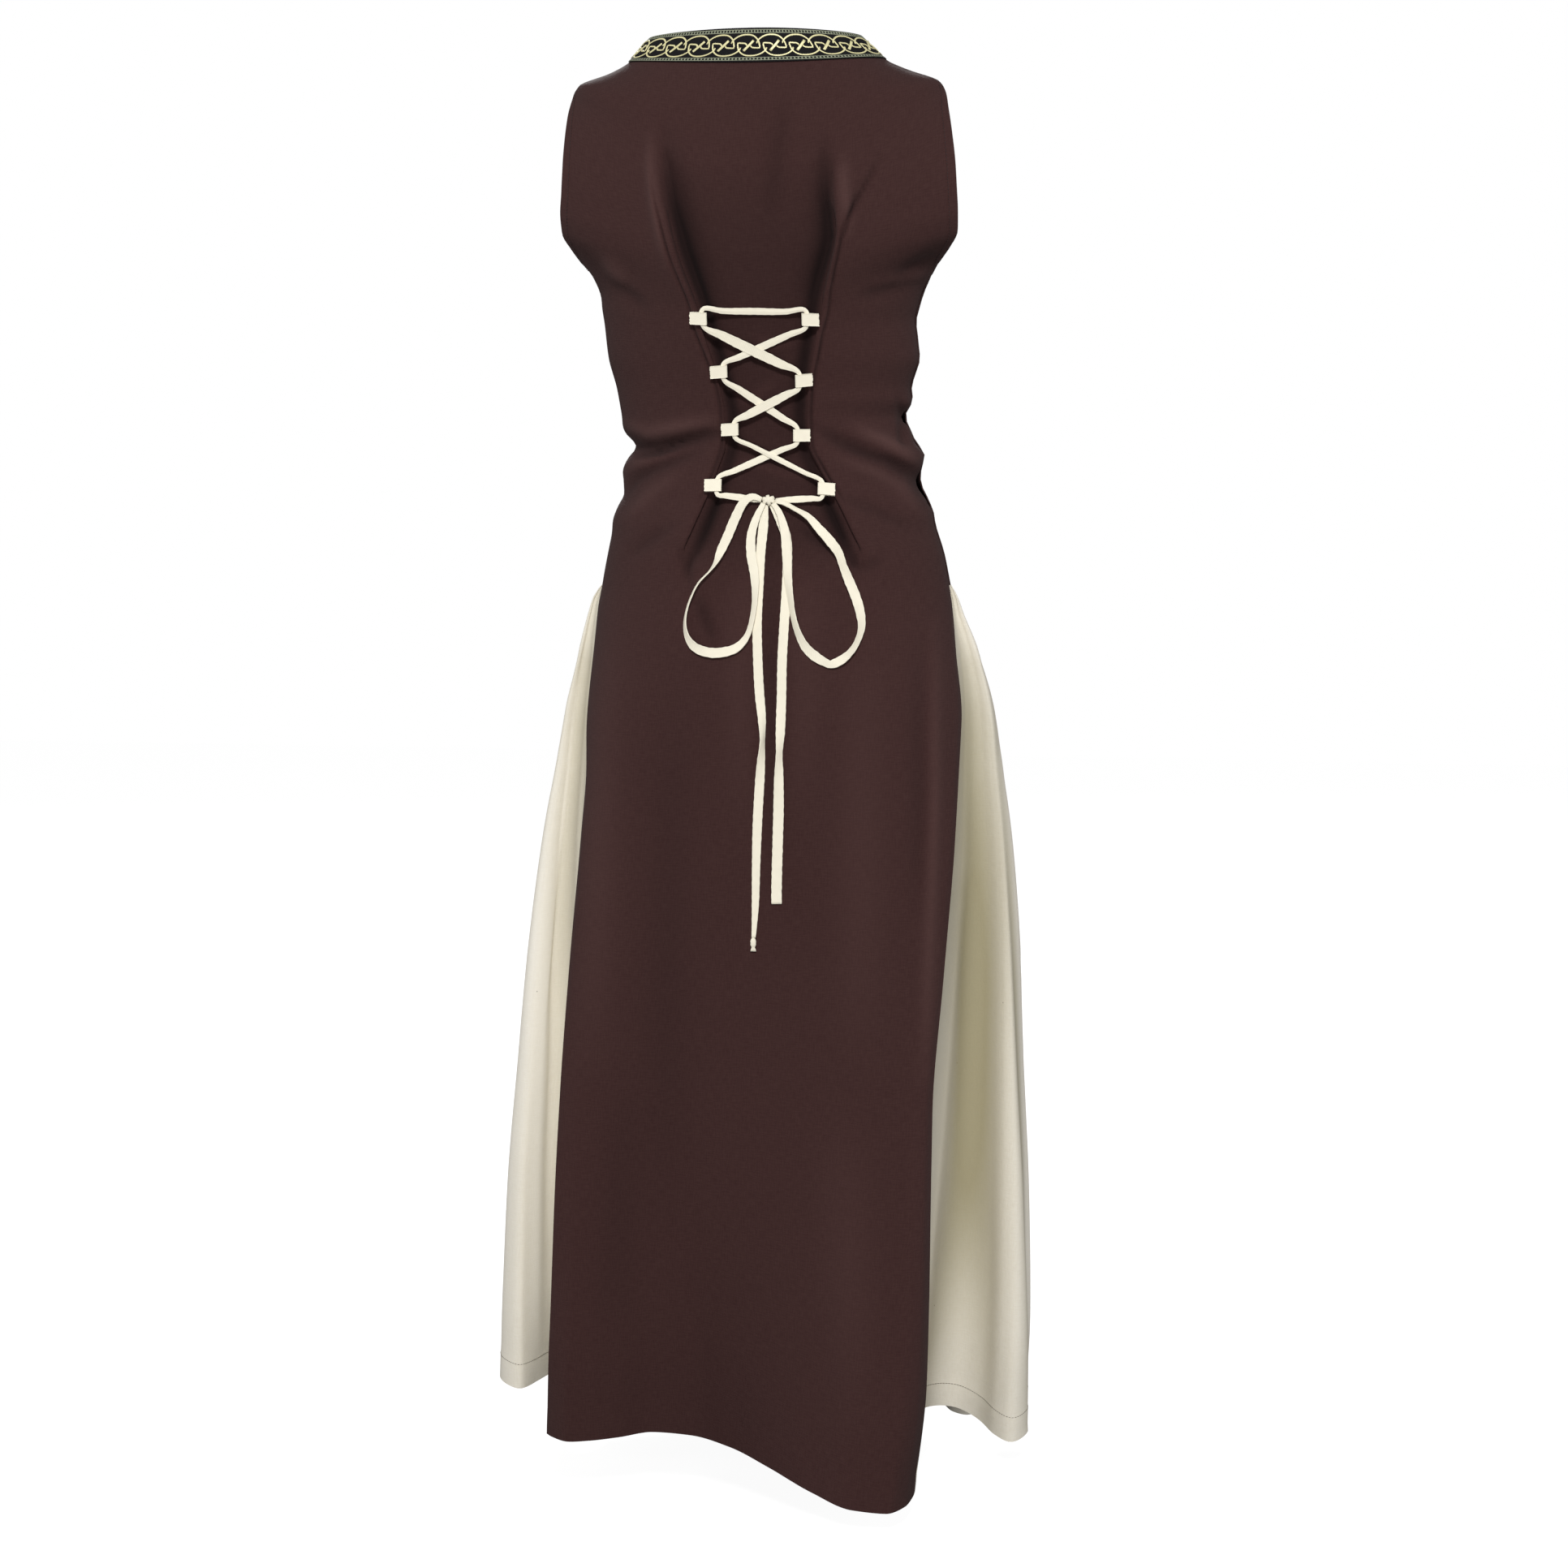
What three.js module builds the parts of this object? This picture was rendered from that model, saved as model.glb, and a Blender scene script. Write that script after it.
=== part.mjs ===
// Medieval gown in its worn form: sleeveless, brown back and front panels, a cream gore in each side seam,
// a knotwork braid round the neck, and two tucks at the back that a cream tape lace draws in.
// Millimetres, +Z up. The origin lies between the shoulders at the height where they carry the gown,
// +Y is the back of the gown and +X is the wearer's left.
import * as THREE from 'three';

// Cloth, tape and seams
const CLOTH_WALL = 1.5;
const BRAID_WALL = 1.2;
const LOOP_WALL = 1.0;
const TAPE_WALL = 1.0;
const SEAM_GAP = 0.3;
const SEAM_BEND_ROOM = 1.35;

// Levels of the gown
const GORE_TOP_LEVEL = 24.12;
const HEM_LEVEL = 34;
const HEM_FALL_LEVEL = 29;
const HEM_FALL_POWER = 1.7;
const GORE_BULGE_POWER = 0.75;
const GORE_FOLD_POWER = 0.8;
const GORE_HEM_POWER = 3;

// Steps for finding which way the back faces: across in mm, down in parts of a level
const NORMAL_STEP = 1;
const NORMAL_PART = 0.1;

// Tape loops that carry the lace
const LOOP_LENGTH = 17.5;
const LOOP_HEIGHT = 13.5;
const LOOP_MOUTH = 1.8;
const LOOP_CLEAR = 0.5;
const LOOP_LACE_OFFSET = 3;
const LOOP_LEAN = 0.5;
const LACE_NARROW = 5;
const LACE_BAR = 6;
const LACE_WIDE = 9;
const LACE_SHARES = [0.2, 0.5, 0.8];
const LACE_OVER = 1.0;
const LACE_UNDER = -0.7;
const BAR_SAG = 1.5;

// Materials
const BROWN = { color: 0x3b292a, roughness: 0.9, metalness: 0 };
const CREAM = { color: 0xd8d0bd, roughness: 0.9, metalness: 0 };
const TAPE = { color: 0xe0d9c4, roughness: 0.85, metalness: 0 };
const BRAID = { color: 0x1c1c1e, roughness: 0.6, metalness: 0 };

function table(columns, rows) {
  return rows.map((row) => Object.fromEntries(columns.map((name, index) => [name, row[index]])));
}

// One row for each level of the gown, from the neck edge down to the hem.
// side: height at the side edges. left, right: how far the side edges lie from the middle plane.
// backMid, frontMid: height at the middle. back, front: depth at the middle.
// backEdge, frontEdge: depth at the edges. frontIn: inset of the front's armholes.
// turn, frontTurn: how far round the section turns before its edge, in degrees.
// square: roundness of the section, 2 for an ellipse and more for flatter faces.
// tuckLeft, tuckRight: place of the tuck edges. pinch: how far the tucks are folded, from 0 to 1.
// goreLeft, goreRight: how far out the gores reach.
const LEVELS = table(
  ['side', 'left', 'right', 'backMid', 'back', 'backEdge', 'turn',
    'frontMid', 'front', 'frontEdge', 'frontTurn', 'frontIn',
    'square', 'tuckLeft', 'tuckRight', 'pinch', 'goreLeft', 'goreRight'],
  [
    [6, 112, 92, 10, 60, 0, 90, -88, 74, 0, 90, 0, 2, 66, 52, 0, 0, 0],
    [-16, 133, 116, -23, 67, 0, 90, -121, 88, 0, 90, 0, 2, 78, 66, 0, 0, 0],
    [-26, 152, 138, -45, 77, 0, 90, -145, 97, 0, 90, 0, 2, 86, 74, 0, 0, 0],
    [-37, 182, 168, -72, 87, 3, 88, -168, 104, 2, 88, 0, 2, 90, 77, 0, 0, 0],
    [-47, 187, 175, -92, 93, 9, 80, -185, 108, 9, 80, 6, 2, 91, 77, 0, 0, 0],
    [-67, 188, 181, -115, 97, 30, 68, -200, 111, 26, 70, 16, 2, 88, 76, 0, 0, 0],
    [-90, 188, 186, -134, 100, 45, 62, -212, 113, 36, 66, 23, 2, 81, 75, 0.12, 0, 0],
    [-115, 188, 190, -152, 102, 55, 60, -223, 115, 42, 64, 27, 2, 75, 73.5, 0.25, 0, 0],
    [-140, 188.5, 192, -170, 103.5, 59, 60, -233, 117, 44, 64, 28, 2, 69.5, 74, 0.4, 0, 0],
    [-162, 190, 193, -187, 104.5, 58, 62, -242, 118, 42, 66, 26, 2, 65, 75, 0.5, 0, 0],
    [-180, 190, 192, -203, 105, 50, 66, -250, 119, 35, 70, 21, 2, 61.5, 75, 0.6, 0, 0],
    [-195, 184, 183, -218, 104.5, 36, 72, -258, 119, 25, 76, 13, 2, 58, 73.5, 0.8, 0, 0],
    [-208, 178, 172, -231, 104, 16, 80, -266, 119, 11, 83, 5, 2, 55, 72, 1, 0, 0],
    [-222, 169, 161, -243, 103, 0, 90, -274, 118, 0, 90, 0, 2, 52.5, 70.5, 1, 0, 0],
    [-245, 160, 152, -258, 101, 0, 90, -282, 117, 0, 90, 0, 2, 48.5, 68, 1, 0, 0],
    [-270, 158, 149, -277, 98, 0, 90, -294, 115, 0, 90, 0, 2, 44, 63, 1, 0, 0],
    [-298, 155, 149.5, -300, 94, 0, 90, -310, 111, 0, 90, 0, 2, 37, 59, 1, 0, 0],
    [-328, 147, 143, -328, 89.5, 0, 90, -334, 105, 0, 90, 0, 2, 29.5, 54.5, 1, 0, 0],
    [-355, 142, 140, -355, 86.5, 0, 90, -357, 100, 0, 90, 0, 2, 25.5, 53, 1, 0, 0],
    [-380, 136, 146, -380, 85, 0, 90, -380, 97, 0, 90, 0, 2, 25, 54, 1, 0, 0],
    [-405, 137, 153, -405, 87, 0, 90, -405, 97, 0, 90, 0, 2, 32, 65, 1, 0, 0],
    [-432, 144, 159, -432, 92, 0, 90, -432, 100, 0, 90, 0, 2, 42, 80, 1, 0, 0],
    [-460, 150, 167, -460, 99, 0, 90, -460, 104, 0, 90, 0, 2, 54, 94, 0.6, 0, 0],
    [-488, 156, 176, -488, 106.5, 0, 90, -488, 107, 0, 90, 0, 2, 65, 106, 0.3, 0, 0],
    [-515, 161, 181.5, -515, 113.5, 0, 90, -515, 110, 0, 90, 0, 2, 70, 110, 0, 166, 184],
    [-545, 165, 187, -545, 119.5, 14, 84, -545, 113, 14, 84, 0, 2.1, 73, 112, 0, 178, 194],
    [-583, 166, 192, -583, 125, 32, 79, -583, 117, 32, 79, 0, 2.3, 75, 112, 0, 190, 210],
    [-645, 168, 200, -645, 130, 56, 76, -645, 122, 56, 74, 0, 2.8, 76, 112, 0, 207, 227],
    [-705, 165, 199, -705, 133, 78, 72, -705, 126, 76, 68, 0, 3, 76, 110, 0, 219, 235],
    [-765, 167, 197, -765, 135.5, 94, 69, -765, 130, 90, 63, 0, 3, 77, 108, 0, 231, 243],
    [-885, 174, 189, -885, 142, 114, 64, -885, 138, 106, 58, 0, 3, 78, 104, 0, 248, 253],
    [-1010, 180, 181, -1010, 150, 130, 59, -1010, 147, 118, 55, 0, 3, 79, 98, 0, 260, 259],
    [-1135, 185, 181, -1135, 158, 138, 56, -1135, 158, 128, 53, 0, 3, 80, 94, 0, 272, 264],
    [-1260, 191, 179, -1260, 166, 136, 54, -1260, 170, 138, 52, 0, 3, 82, 90, 0, 280, 266],
    [-1370, 199, 166, -1370, 172, 119, 54, -1370, 182, 148, 52, 0, 3, 84, 86, 0, 287, 262],
  ],
);

// The hems as they hang, from the wearer's left to the right at the back and at the front
const BACK_HEM = table(['x', 'y', 'z'], [
  [199, 115, -1351], [175, 130, -1352], [155, 127, -1351], [128, 118, -1349], [96, 105, -1346],
  [59, 103, -1348], [16, 117, -1354], [-24, 138, -1365], [-71, 164, -1380], [-113, 181, -1390],
  [-144, 180, -1392], [-160, 158, -1391], [-166, 123, -1389],
]);
const FRONT_HEM = table(['x', 'y', 'z'], [
  [199, -146, -1352], [176, -164, -1353], [140, -176, -1356], [96, -196, -1360], [52, -188, -1364],
  [10, -176, -1368], [-36, -190, -1373], [-80, -198, -1377], [-124, -182, -1379], [-152, -166, -1380],
  [-166, -146, -1380],
]);

// The gores' hems between the seams, from the back seam to the front seam
const LEFT_GORE_HEM = table(['x', 'y', 'z'], [
  [182, 72, -1351], [172, 8, -1349], [184, -58, -1346], [208, -84, -1345], [234, -80, -1345],
  [248, -48, -1345], [259, -17, -1345], [275, -28, -1343], [287, -64, -1341], [262, -90, -1342],
  [268, -132, -1345], [238, -146, -1348], [218, -112, -1350], [205, -122, -1351],
]);
const RIGHT_GORE_HEM = table(['x', 'y', 'z'], [
  [-152, 70, -1382], [-143, 0, -1372], [-147, -70, -1365], [-162, -88, -1364], [-182, -92, -1366],
  [-202, -82, -1372], [-226, -52, -1381], [-243, -43, -1385], [-258, -68, -1381], [-246, -98, -1378],
  [-250, -140, -1378], [-218, -150, -1379], [-192, -112, -1380], [-176, -122, -1380],
]);

// Section of a tuck. flat: place across the unfolded cloth, outwards from the tuck edge.
// across, height: where the folded cloth lies, outwards from the edge and above the panel.
const TUCK_FOLD = table(['flat', 'across', 'height'], [
  [26, 26, 2.2], [13, 11, 3.9], [6, 4, 4.4], [3, 0.9, 4.1], [1.5, 0, 2.8], [0, 0.9, 1.5],
  [-2.5, 5, 1.1], [-4.5, 6.8, -0.3], [-6.5, 5, -1.7], [-10, 0, -2.0], [-18, -12, -2.8],
]);
const TUCK_FOLD_START = 0.6;
const TUCK_SPREAD = 45;
const RECESS = -2.8;

// Places of the panels' columns, as shares of the cloth between a tuck and the side edge, between the tucks,
// and of half the front
const SIDE_SHARES = [0.2, 0.4, 0.58, 0.74, 0.87, 0.95, 1];
const MIDDLE_SHARES = [0.25, 0.5, 0.75];
const FRONT_SHARES = [0, 0.14, 0.28, 0.42, 0.56, 0.7, 0.83, 0.93, 1];
const GORE_COLUMNS = 26;

// The tape loops, by their centres on the tuck edges.
// headOut, footOut: how far beyond a loop's mouths the lace turns.
const LACE_LOOPS = table(['name', 'x', 'z', 'inward', 'headOut', 'footOut'], [
  ['l1', 46, -263, -1, 3, 1.4], ['l2', 28, -312, -1, 1.4, 1.4],
  ['l3', 18.5, -367, -1, 1.4, 1.4], ['l4', 34, -422, -1, 1.4, 3],
  ['r1', -56, -265, 1, 3, 1.4], ['r2', -49.5, -320, 1, 1.4, 1.4],
  ['r3', -47, -373, 1, 1.4, 1.4], ['r4', -70, -426, 1, 1.4, 3],
]);

// The lace's crossings between loops: from one loop's foot to the other's head
const CROSSINGS_UP = [['r4', 'l3'], ['l3', 'r2'], ['r2', 'l1']];
const CROSSINGS_DOWN = [['r1', 'l2'], ['l2', 'r3'], ['r3', 'l4']];

// The knot, seated on the panel between the tucks
const KNOT = { x: -18, z: -435, halfWidth: 6.5, halfDepth: 4.2, halfHeight: 4.6, laceLift: 2 };

// Free runs of the lace. lift: height above the panel.
// twist: turn of the tape about its own run, in degrees.
const RUN_COLUMNS = ['x', 'z', 'lift', 'width', 'thick', 'twist'];
const BOW_LEFT = table(RUN_COLUMNS, [
  [-11.6, -434.5, 4.0, 5, 1, 0], [-3, -432, 5.2, 7, 1, 0], [5, -438, 5.4, 8, 1, 0],
  [13, -455, 4.6, 9, 1, 10], [20, -474, 4.6, 9, 1, 25], [29, -494, 4.8, 9, 1, 35],
  [43, -512, 5.2, 9, 1, 30], [53, -531, 5.2, 9, 1, 15], [58, -549, 4.8, 9, 1, 5],
  [54, -565, 4.4, 9, 1, 0], [42, -575, 4.0, 9, 1, 0], [26, -578, 3.8, 9, 1, 0], [10, -575, 3.8, 9, 1, 0],
  [-2, -564, 4.2, 9, 1, 0], [-8, -546, 4.6, 9, 1, 10], [-8, -524, 4.8, 9, 1, 10],
  [-6, -500, 5.0, 9, 1, 0], [-4, -474, 5.6, 8, 1, 0], [-8, -454, 6.0, 7, 1, 0],
  [-13.5, -438.2, 4.6, 5, 1, 0],
]);
const BOW_RIGHT = table(RUN_COLUMNS, [
  [-24.4, -435.5, 4.0, 5, 1, 0], [-33, -438, 5.2, 7, 1, 0], [-43, -443.5, 5.4, 8, 1, 0],
  [-55, -450.5, 5.0, 9, 1, -8], [-65.5, -462, 5.2, 9, 1, -12], [-76, -474, 5.6, 9, 1, -15],
  [-84, -485, 5.8, 9, 1, -15], [-88.5, -497, 5.6, 9, 1, -10], [-94, -510, 5.4, 9, 1, -10],
  [-100.5, -525, 5.0, 9, 1, -5], [-105.5, -540, 4.8, 9, 1, 0], [-107.5, -554, 4.6, 9, 1, 0],
  [-104.5, -567, 4.4, 9, 1, 0], [-98, -578, 4.2, 9, 1, 0], [-89, -585.5, 4.0, 9, 1, 0],
  [-80, -588, 3.8, 9, 1, 0], [-69, -583, 3.8, 9, 1, 0], [-58.5, -573.5, 4.0, 9, 1, 0],
  [-51, -561, 4.4, 9, 1, 0], [-45.5, -545, 4.8, 9, 1, -10], [-42, -527, 5.0, 9, 1, -10],
  [-39, -506, 5.4, 9, 1, -10], [-37, -484, 5.8, 8.6, 1, 0], [-34, -463, 6.0, 8, 1, 0],
  [-28.5, -447, 5.6, 6, 1, 0], [-22.5, -438.2, 4.6, 5, 1, 0],
]);
const TAIL_LEFT = table(RUN_COLUMNS, [
  [-14.8, -439.3, 1.6, 6, 1, 0], [-14, -458, 1.6, 9, 1, 0], [-12.5, -482, 1.7, 9, 1, 0],
  [-12, -515, 1.7, 9, 1, 0], [-11.5, -550, 1.7, 9, 1, 0], [-13, -585, 1.7, 9, 1, 0],
  [-15, -615, 1.7, 9, 1, 0], [-18, -640, 4.0, 8, 1, 30], [-19, -660, 5.4, 7, 1, 60],
  [-17.5, -680, 4.0, 8, 1, 30], [-16, -700, 1.8, 9, 1, 0], [-14, -740, 1.7, 9, 1, 0],
  [-13, -780, 1.7, 8, 1, 0], [-12.5, -815, 1.7, 7, 1, 0], [-11.5, -838, 1.8, 5, 1.2, 0],
  [-11, -848, 2.4, 4, 2, 0], [-10.8, -853, 2.8, 6, 3.4, 0], [-10.6, -858, 2.4, 4, 2, 0],
]);
const TAIL_RIGHT = table(RUN_COLUMNS, [
  [-21.5, -439.1, 1.6, 6, 1, 0], [-30, -454, 1.7, 9, 1, 0], [-36, -470, 1.8, 9, 1, 0],
  [-38, -495, 1.8, 9, 1, 0], [-38, -520, 1.8, 9, 1, 0], [-37, -552, 1.8, 9, 1, 0],
  [-36, -585, 1.7, 9, 1, 0], [-36, -620, 1.7, 9, 1, 0], [-35.6, -650, 3.6, 9, 1, 20],
  [-35, -672, 5.2, 8, 1, 50], [-34.5, -695, 3.6, 9, 1, 20], [-34.2, -725, 1.7, 10, 1, 0],
  [-33.6, -755, 1.7, 10, 1, 0], [-33, -785, 1.7, 10, 1, 0], [-32.8, -808, 1.8, 10, 1.2, 0],
  [-33, -815, 1.9, 10, 1.4, 0],
]);

function mix(from, to, share) {
  return from + (to - from) * share;
}

function levelAt(position) {
  const above = Math.min(Math.floor(position), LEVELS.length - 2);
  const share = position - above;
  const below = LEVELS[above + 1];
  const entries = Object.entries(LEVELS[above]);
  return Object.fromEntries(entries.map(([name, value]) => [name, mix(value, below[name], share)]));
}

// Position in the table of levels of a height below the armholes, where the rows are nearly level
function levelOfHeight(z) {
  const below = LEVELS.findIndex((level) => level.backMid <= z);
  const above = below - 1;
  const share = (LEVELS[above].backMid - z) / (LEVELS[above].backMid - LEVELS[below].backMid);
  return above + share;
}

// Depth left of a section at a share of its width: 1 in the middle, 0 at the edge
function sectionDepth(share, turn, square) {
  const reach = Math.sin(THREE.MathUtils.degToRad(turn));
  const depthAt = (place) => Math.max(0, 1 - Math.abs(place) ** square) ** (1 / square);
  return (depthAt(share * reach) - depthAt(reach)) / (1 - depthAt(reach));
}

// Point of a hem table at a share of the panel's width, from -1 on the right to 1 on the left
function hemAt(hem, share) {
  const reach = share > 0 ? hem[0].x : -hem[hem.length - 1].x;
  const x = share * reach;
  const last = hem.length - 2;
  const found = hem.findIndex((point, index) => index > last || hem[index + 1].x <= x);
  const from = hem[Math.min(found, last)];
  const to = hem[Math.min(found, last) + 1];
  const along = (x - from.x) / (to.x - from.x);
  return new THREE.Vector3(x, mix(from.y, to.y, along), mix(from.z, to.z, along));
}

function hemFall(position) {
  const share = (position - HEM_FALL_LEVEL) / (HEM_LEVEL - HEM_FALL_LEVEL);
  return Math.max(0, share) ** HEM_FALL_POWER;
}

// Plain sections of the two panels, at a share of their width
function backSection(share, position) {
  const level = levelAt(position);
  const depth = sectionDepth(share, level.turn, level.square);
  const x = share * (share > 0 ? level.left : level.right);
  const y = mix(level.backEdge + SEAM_GAP / 2, level.back, depth);
  return new THREE.Vector3(x, y, mix(level.backMid, level.side, share ** 2));
}

function frontSection(share, position) {
  const level = levelAt(position);
  const reach = (share > 0 ? level.left : level.right) - level.frontIn;
  const depth = sectionDepth(share, level.frontTurn, level.square);
  const y = mix(level.frontEdge + SEAM_GAP / 2, level.front, depth);
  return new THREE.Vector3(share * reach, -y, mix(level.frontMid, level.side, share ** 2));
}

// The panels' middle surfaces, which leave their plain sections towards the hems. The back has no tucks here.
function backPoint(x, position) {
  const level = levelAt(position);
  const share = Math.max(-1, Math.min(1, x / (x > 0 ? level.left : level.right)));
  const fall = hemAt(BACK_HEM, share).sub(backSection(share, HEM_LEVEL));
  return backSection(share, position).addScaledVector(fall, hemFall(position));
}

function frontPoint(share, position) {
  const fall = hemAt(FRONT_HEM, share).sub(frontSection(share, HEM_LEVEL));
  return frontSection(share, position).addScaledVector(fall, hemFall(position));
}

// Outward direction of the back panel's plain surface
function backNormal(x, position) {
  const across = backPoint(x + NORMAL_STEP, position).sub(backPoint(x - NORMAL_STEP, position));
  const down = backPoint(x, position + NORMAL_PART).sub(backPoint(x, position - NORMAL_PART));
  return across.cross(down).normalize();
}

// Columns of the back panel at one level, from right to left: where each lies and how high it stands
function backColumns(level) {
  const { pinch, tuckLeft, tuckRight } = level;
  const folded = THREE.MathUtils.smoothstep(pinch, TUCK_FOLD_START, 1);
  const columnsOf = (tuck, reach) => {
    const fold = TUCK_FOLD.map(({ flat, across, height }) => ({
      x: tuck + mix(flat, across, folded),
      height: height * pinch,
    }));
    const start = fold[0];
    const plain = SIDE_SHARES.map((share) => {
      const x = mix(start.x, reach, share);
      const fade = Math.max(0, 1 - (x - start.x) / TUCK_SPREAD) ** 2;
      return { x, height: start.height * fade };
    });
    return [...plain.reverse(), ...fold];
  };
  const right = columnsOf(tuckRight, level.right).map(({ x, height }) => ({ x: -x, height }));
  const left = columnsOf(tuckLeft, level.left);
  const middle = MIDDLE_SHARES.map((share) => {
    const x = mix(right.at(-1).x, left.at(-1).x, share);
    return { x, height: RECESS * pinch };
  });
  return [...right, ...middle, ...left.reverse()];
}

function backGrid(positions) {
  return positions.map((position) => backColumns(levelAt(position)).map(({ x, height }) => {
    const point = backPoint(x, position);
    return height === 0 ? point : point.addScaledVector(backNormal(x, position), height);
  }));
}

function frontGrid(positions) {
  const left = [...FRONT_SHARES].reverse();
  const right = FRONT_SHARES.slice(1).map((share) => -share);
  return positions.map((position) => [...left, ...right].map((share) => frontPoint(share, position)));
}

// Surface directions of a grid of points, outwards. At the side and shoulder seams they lie in the seam's
// plane.
function gridNormals(grid, closed = false) {
  const rows = grid.length;
  const columns = grid[0].length;
  return grid.map((row, r) => row.map((point, c) => {
    const before = closed ? (c + columns - 1) % columns : Math.max(c - 1, 0);
    const after = closed ? (c + 1) % columns : Math.min(c + 1, columns - 1);
    const across = row[after].clone().sub(row[before]);
    const down = grid[Math.min(r + 1, rows - 1)][c].clone().sub(grid[Math.max(r - 1, 0)][c]);
    const normal = across.cross(down);
    const atEdge = c === 0 || c === columns - 1;
    if (atEdge && !closed && Math.abs(point.y) < SEAM_GAP) {
      normal.y = 0;
    }
    return normal.normalize();
  }));
}

function shiftedGrid(grid, normals, distance) {
  return grid.map((row, r) => row.map((point, c) => point.clone().addScaledVector(normals[r][c], distance)));
}

function geometryOf(points, triangles) {
  const geometry = new THREE.BufferGeometry();
  geometry.setAttribute('position', new THREE.Float32BufferAttribute(points.flatMap((p) => p.toArray()), 3));
  geometry.setIndex(triangles);
  geometry.computeVertexNormals();
  return geometry;
}

// A closed wall round a grid of points: outer face, inner face and the strips along its edges
function wallGeometry(grid, thickness, { closed = false, out = 0 } = {}) {
  const normals = gridNormals(grid, closed);
  const outer = shiftedGrid(grid, normals, out + thickness / 2).flat();
  const inner = shiftedGrid(grid, normals, out - thickness / 2).flat();
  const rows = grid.length;
  const columns = grid[0].length;
  const spans = closed ? columns : columns - 1;
  const backOf = outer.length;
  const at = (r, c) => r * columns + (c % columns);
  const triangles = [];
  const quad = (a, b, c, d) => triangles.push(a, c, b, a, d, c);
  for (let r = 0; r < rows - 1; r += 1) {
    for (let c = 0; c < spans; c += 1) {
      quad(at(r, c), at(r + 1, c), at(r + 1, c + 1), at(r, c + 1));
      quad(backOf + at(r, c), backOf + at(r, c + 1), backOf + at(r + 1, c + 1), backOf + at(r + 1, c));
    }
  }
  for (let c = 0; c < spans; c += 1) {
    quad(at(0, c), at(0, c + 1), backOf + at(0, c + 1), backOf + at(0, c));
    quad(at(rows - 1, c + 1), at(rows - 1, c), backOf + at(rows - 1, c), backOf + at(rows - 1, c + 1));
  }
  for (let r = 0; r < rows - 1 && !closed; r += 1) {
    const end = columns - 1;
    quad(at(r + 1, 0), at(r, 0), backOf + at(r, 0), backOf + at(r + 1, 0));
    quad(at(r, end), at(r + 1, end), backOf + at(r + 1, end), backOf + at(r, end));
  }
  return geometryOf([...outer, ...inner], triangles);
}

// A gore between the edges of the back and front panels. It is round at its top, and its folds open
// downwards.
function goreGrid(positions, backEdge, frontEdge, hem, reachName) {
  const outward = Math.sign(hem[0].x);
  const last = positions.length - 1;
  const top = LEVELS[Math.floor(GORE_TOP_LEVEL)].side;
  const bottom = LEVELS[HEM_LEVEL].side;
  const arcPoint = (row, share) => {
    const from = backEdge[row].point;
    const to = frontEdge[row].point;
    const level = levelAt(positions[row]);
    const swell = Math.max(0, level[reachName] - Math.abs(from.x + to.x) / 2);
    const point = from.clone().lerp(to, share);
    point.x += outward * swell * Math.sin(Math.PI * share) ** GORE_BULGE_POWER;
    return point;
  };
  const points = hem.map(({ x, y, z }) => new THREE.Vector3(x, y, z));
  const hemCurve = new THREE.CatmullRomCurve3(
    [backEdge[last].point, ...points, frontEdge[last].point], false, 'centripetal',
  );
  return positions.map((position, row) => {
    const grown = (levelAt(position).side - top) / (bottom - top);
    const line = [];
    for (let c = 0; c < GORE_COLUMNS; c += 1) {
      const share = c / (GORE_COLUMNS - 1);
      const fold = hemCurve.getPointAt(share).sub(arcPoint(last, share));
      const point = arcPoint(row, share);
      point.x += fold.x * grown ** GORE_FOLD_POWER;
      point.y += fold.y * grown ** GORE_FOLD_POWER;
      point.z += fold.z * grown ** GORE_HEM_POWER;
      line.push(point);
    }
    const start = seamStep(line[1], backEdge[row]);
    const end = seamStep(line.at(-2), frontEdge[row]);
    line.forEach((point, c) => {
      const share = c / (GORE_COLUMNS - 1);
      point.addScaledVector(start, 1 - share).addScaledVector(end, share);
    });
    return line;
  });
}

// The step that brings a gore's end just clear of the panel edge that it is sewn to
function seamStep(next, edge) {
  const heading = next.clone().sub(edge.point).normalize();
  const bend = heading.cross(edge.tangent).length();
  return edge.tangent.clone().multiplyScalar(SEAM_GAP + SEAM_BEND_ROOM * bend);
}

// An edge of a panel's grid: each row's last point and the direction in which the cloth leaves it
function panelEdge(grid, rows, end, before) {
  return rows.map((row) => {
    const point = grid[row].at(end);
    return { point, tangent: point.clone().sub(grid[row].at(before)).normalize() };
  });
}

// A place over the back panel with its outward and downward directions
function backPlace(x, z, lift) {
  const position = levelOfHeight(z);
  const out = backNormal(x, position);
  return { point: backPoint(x, position).addScaledVector(out, lift), out };
}

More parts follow.
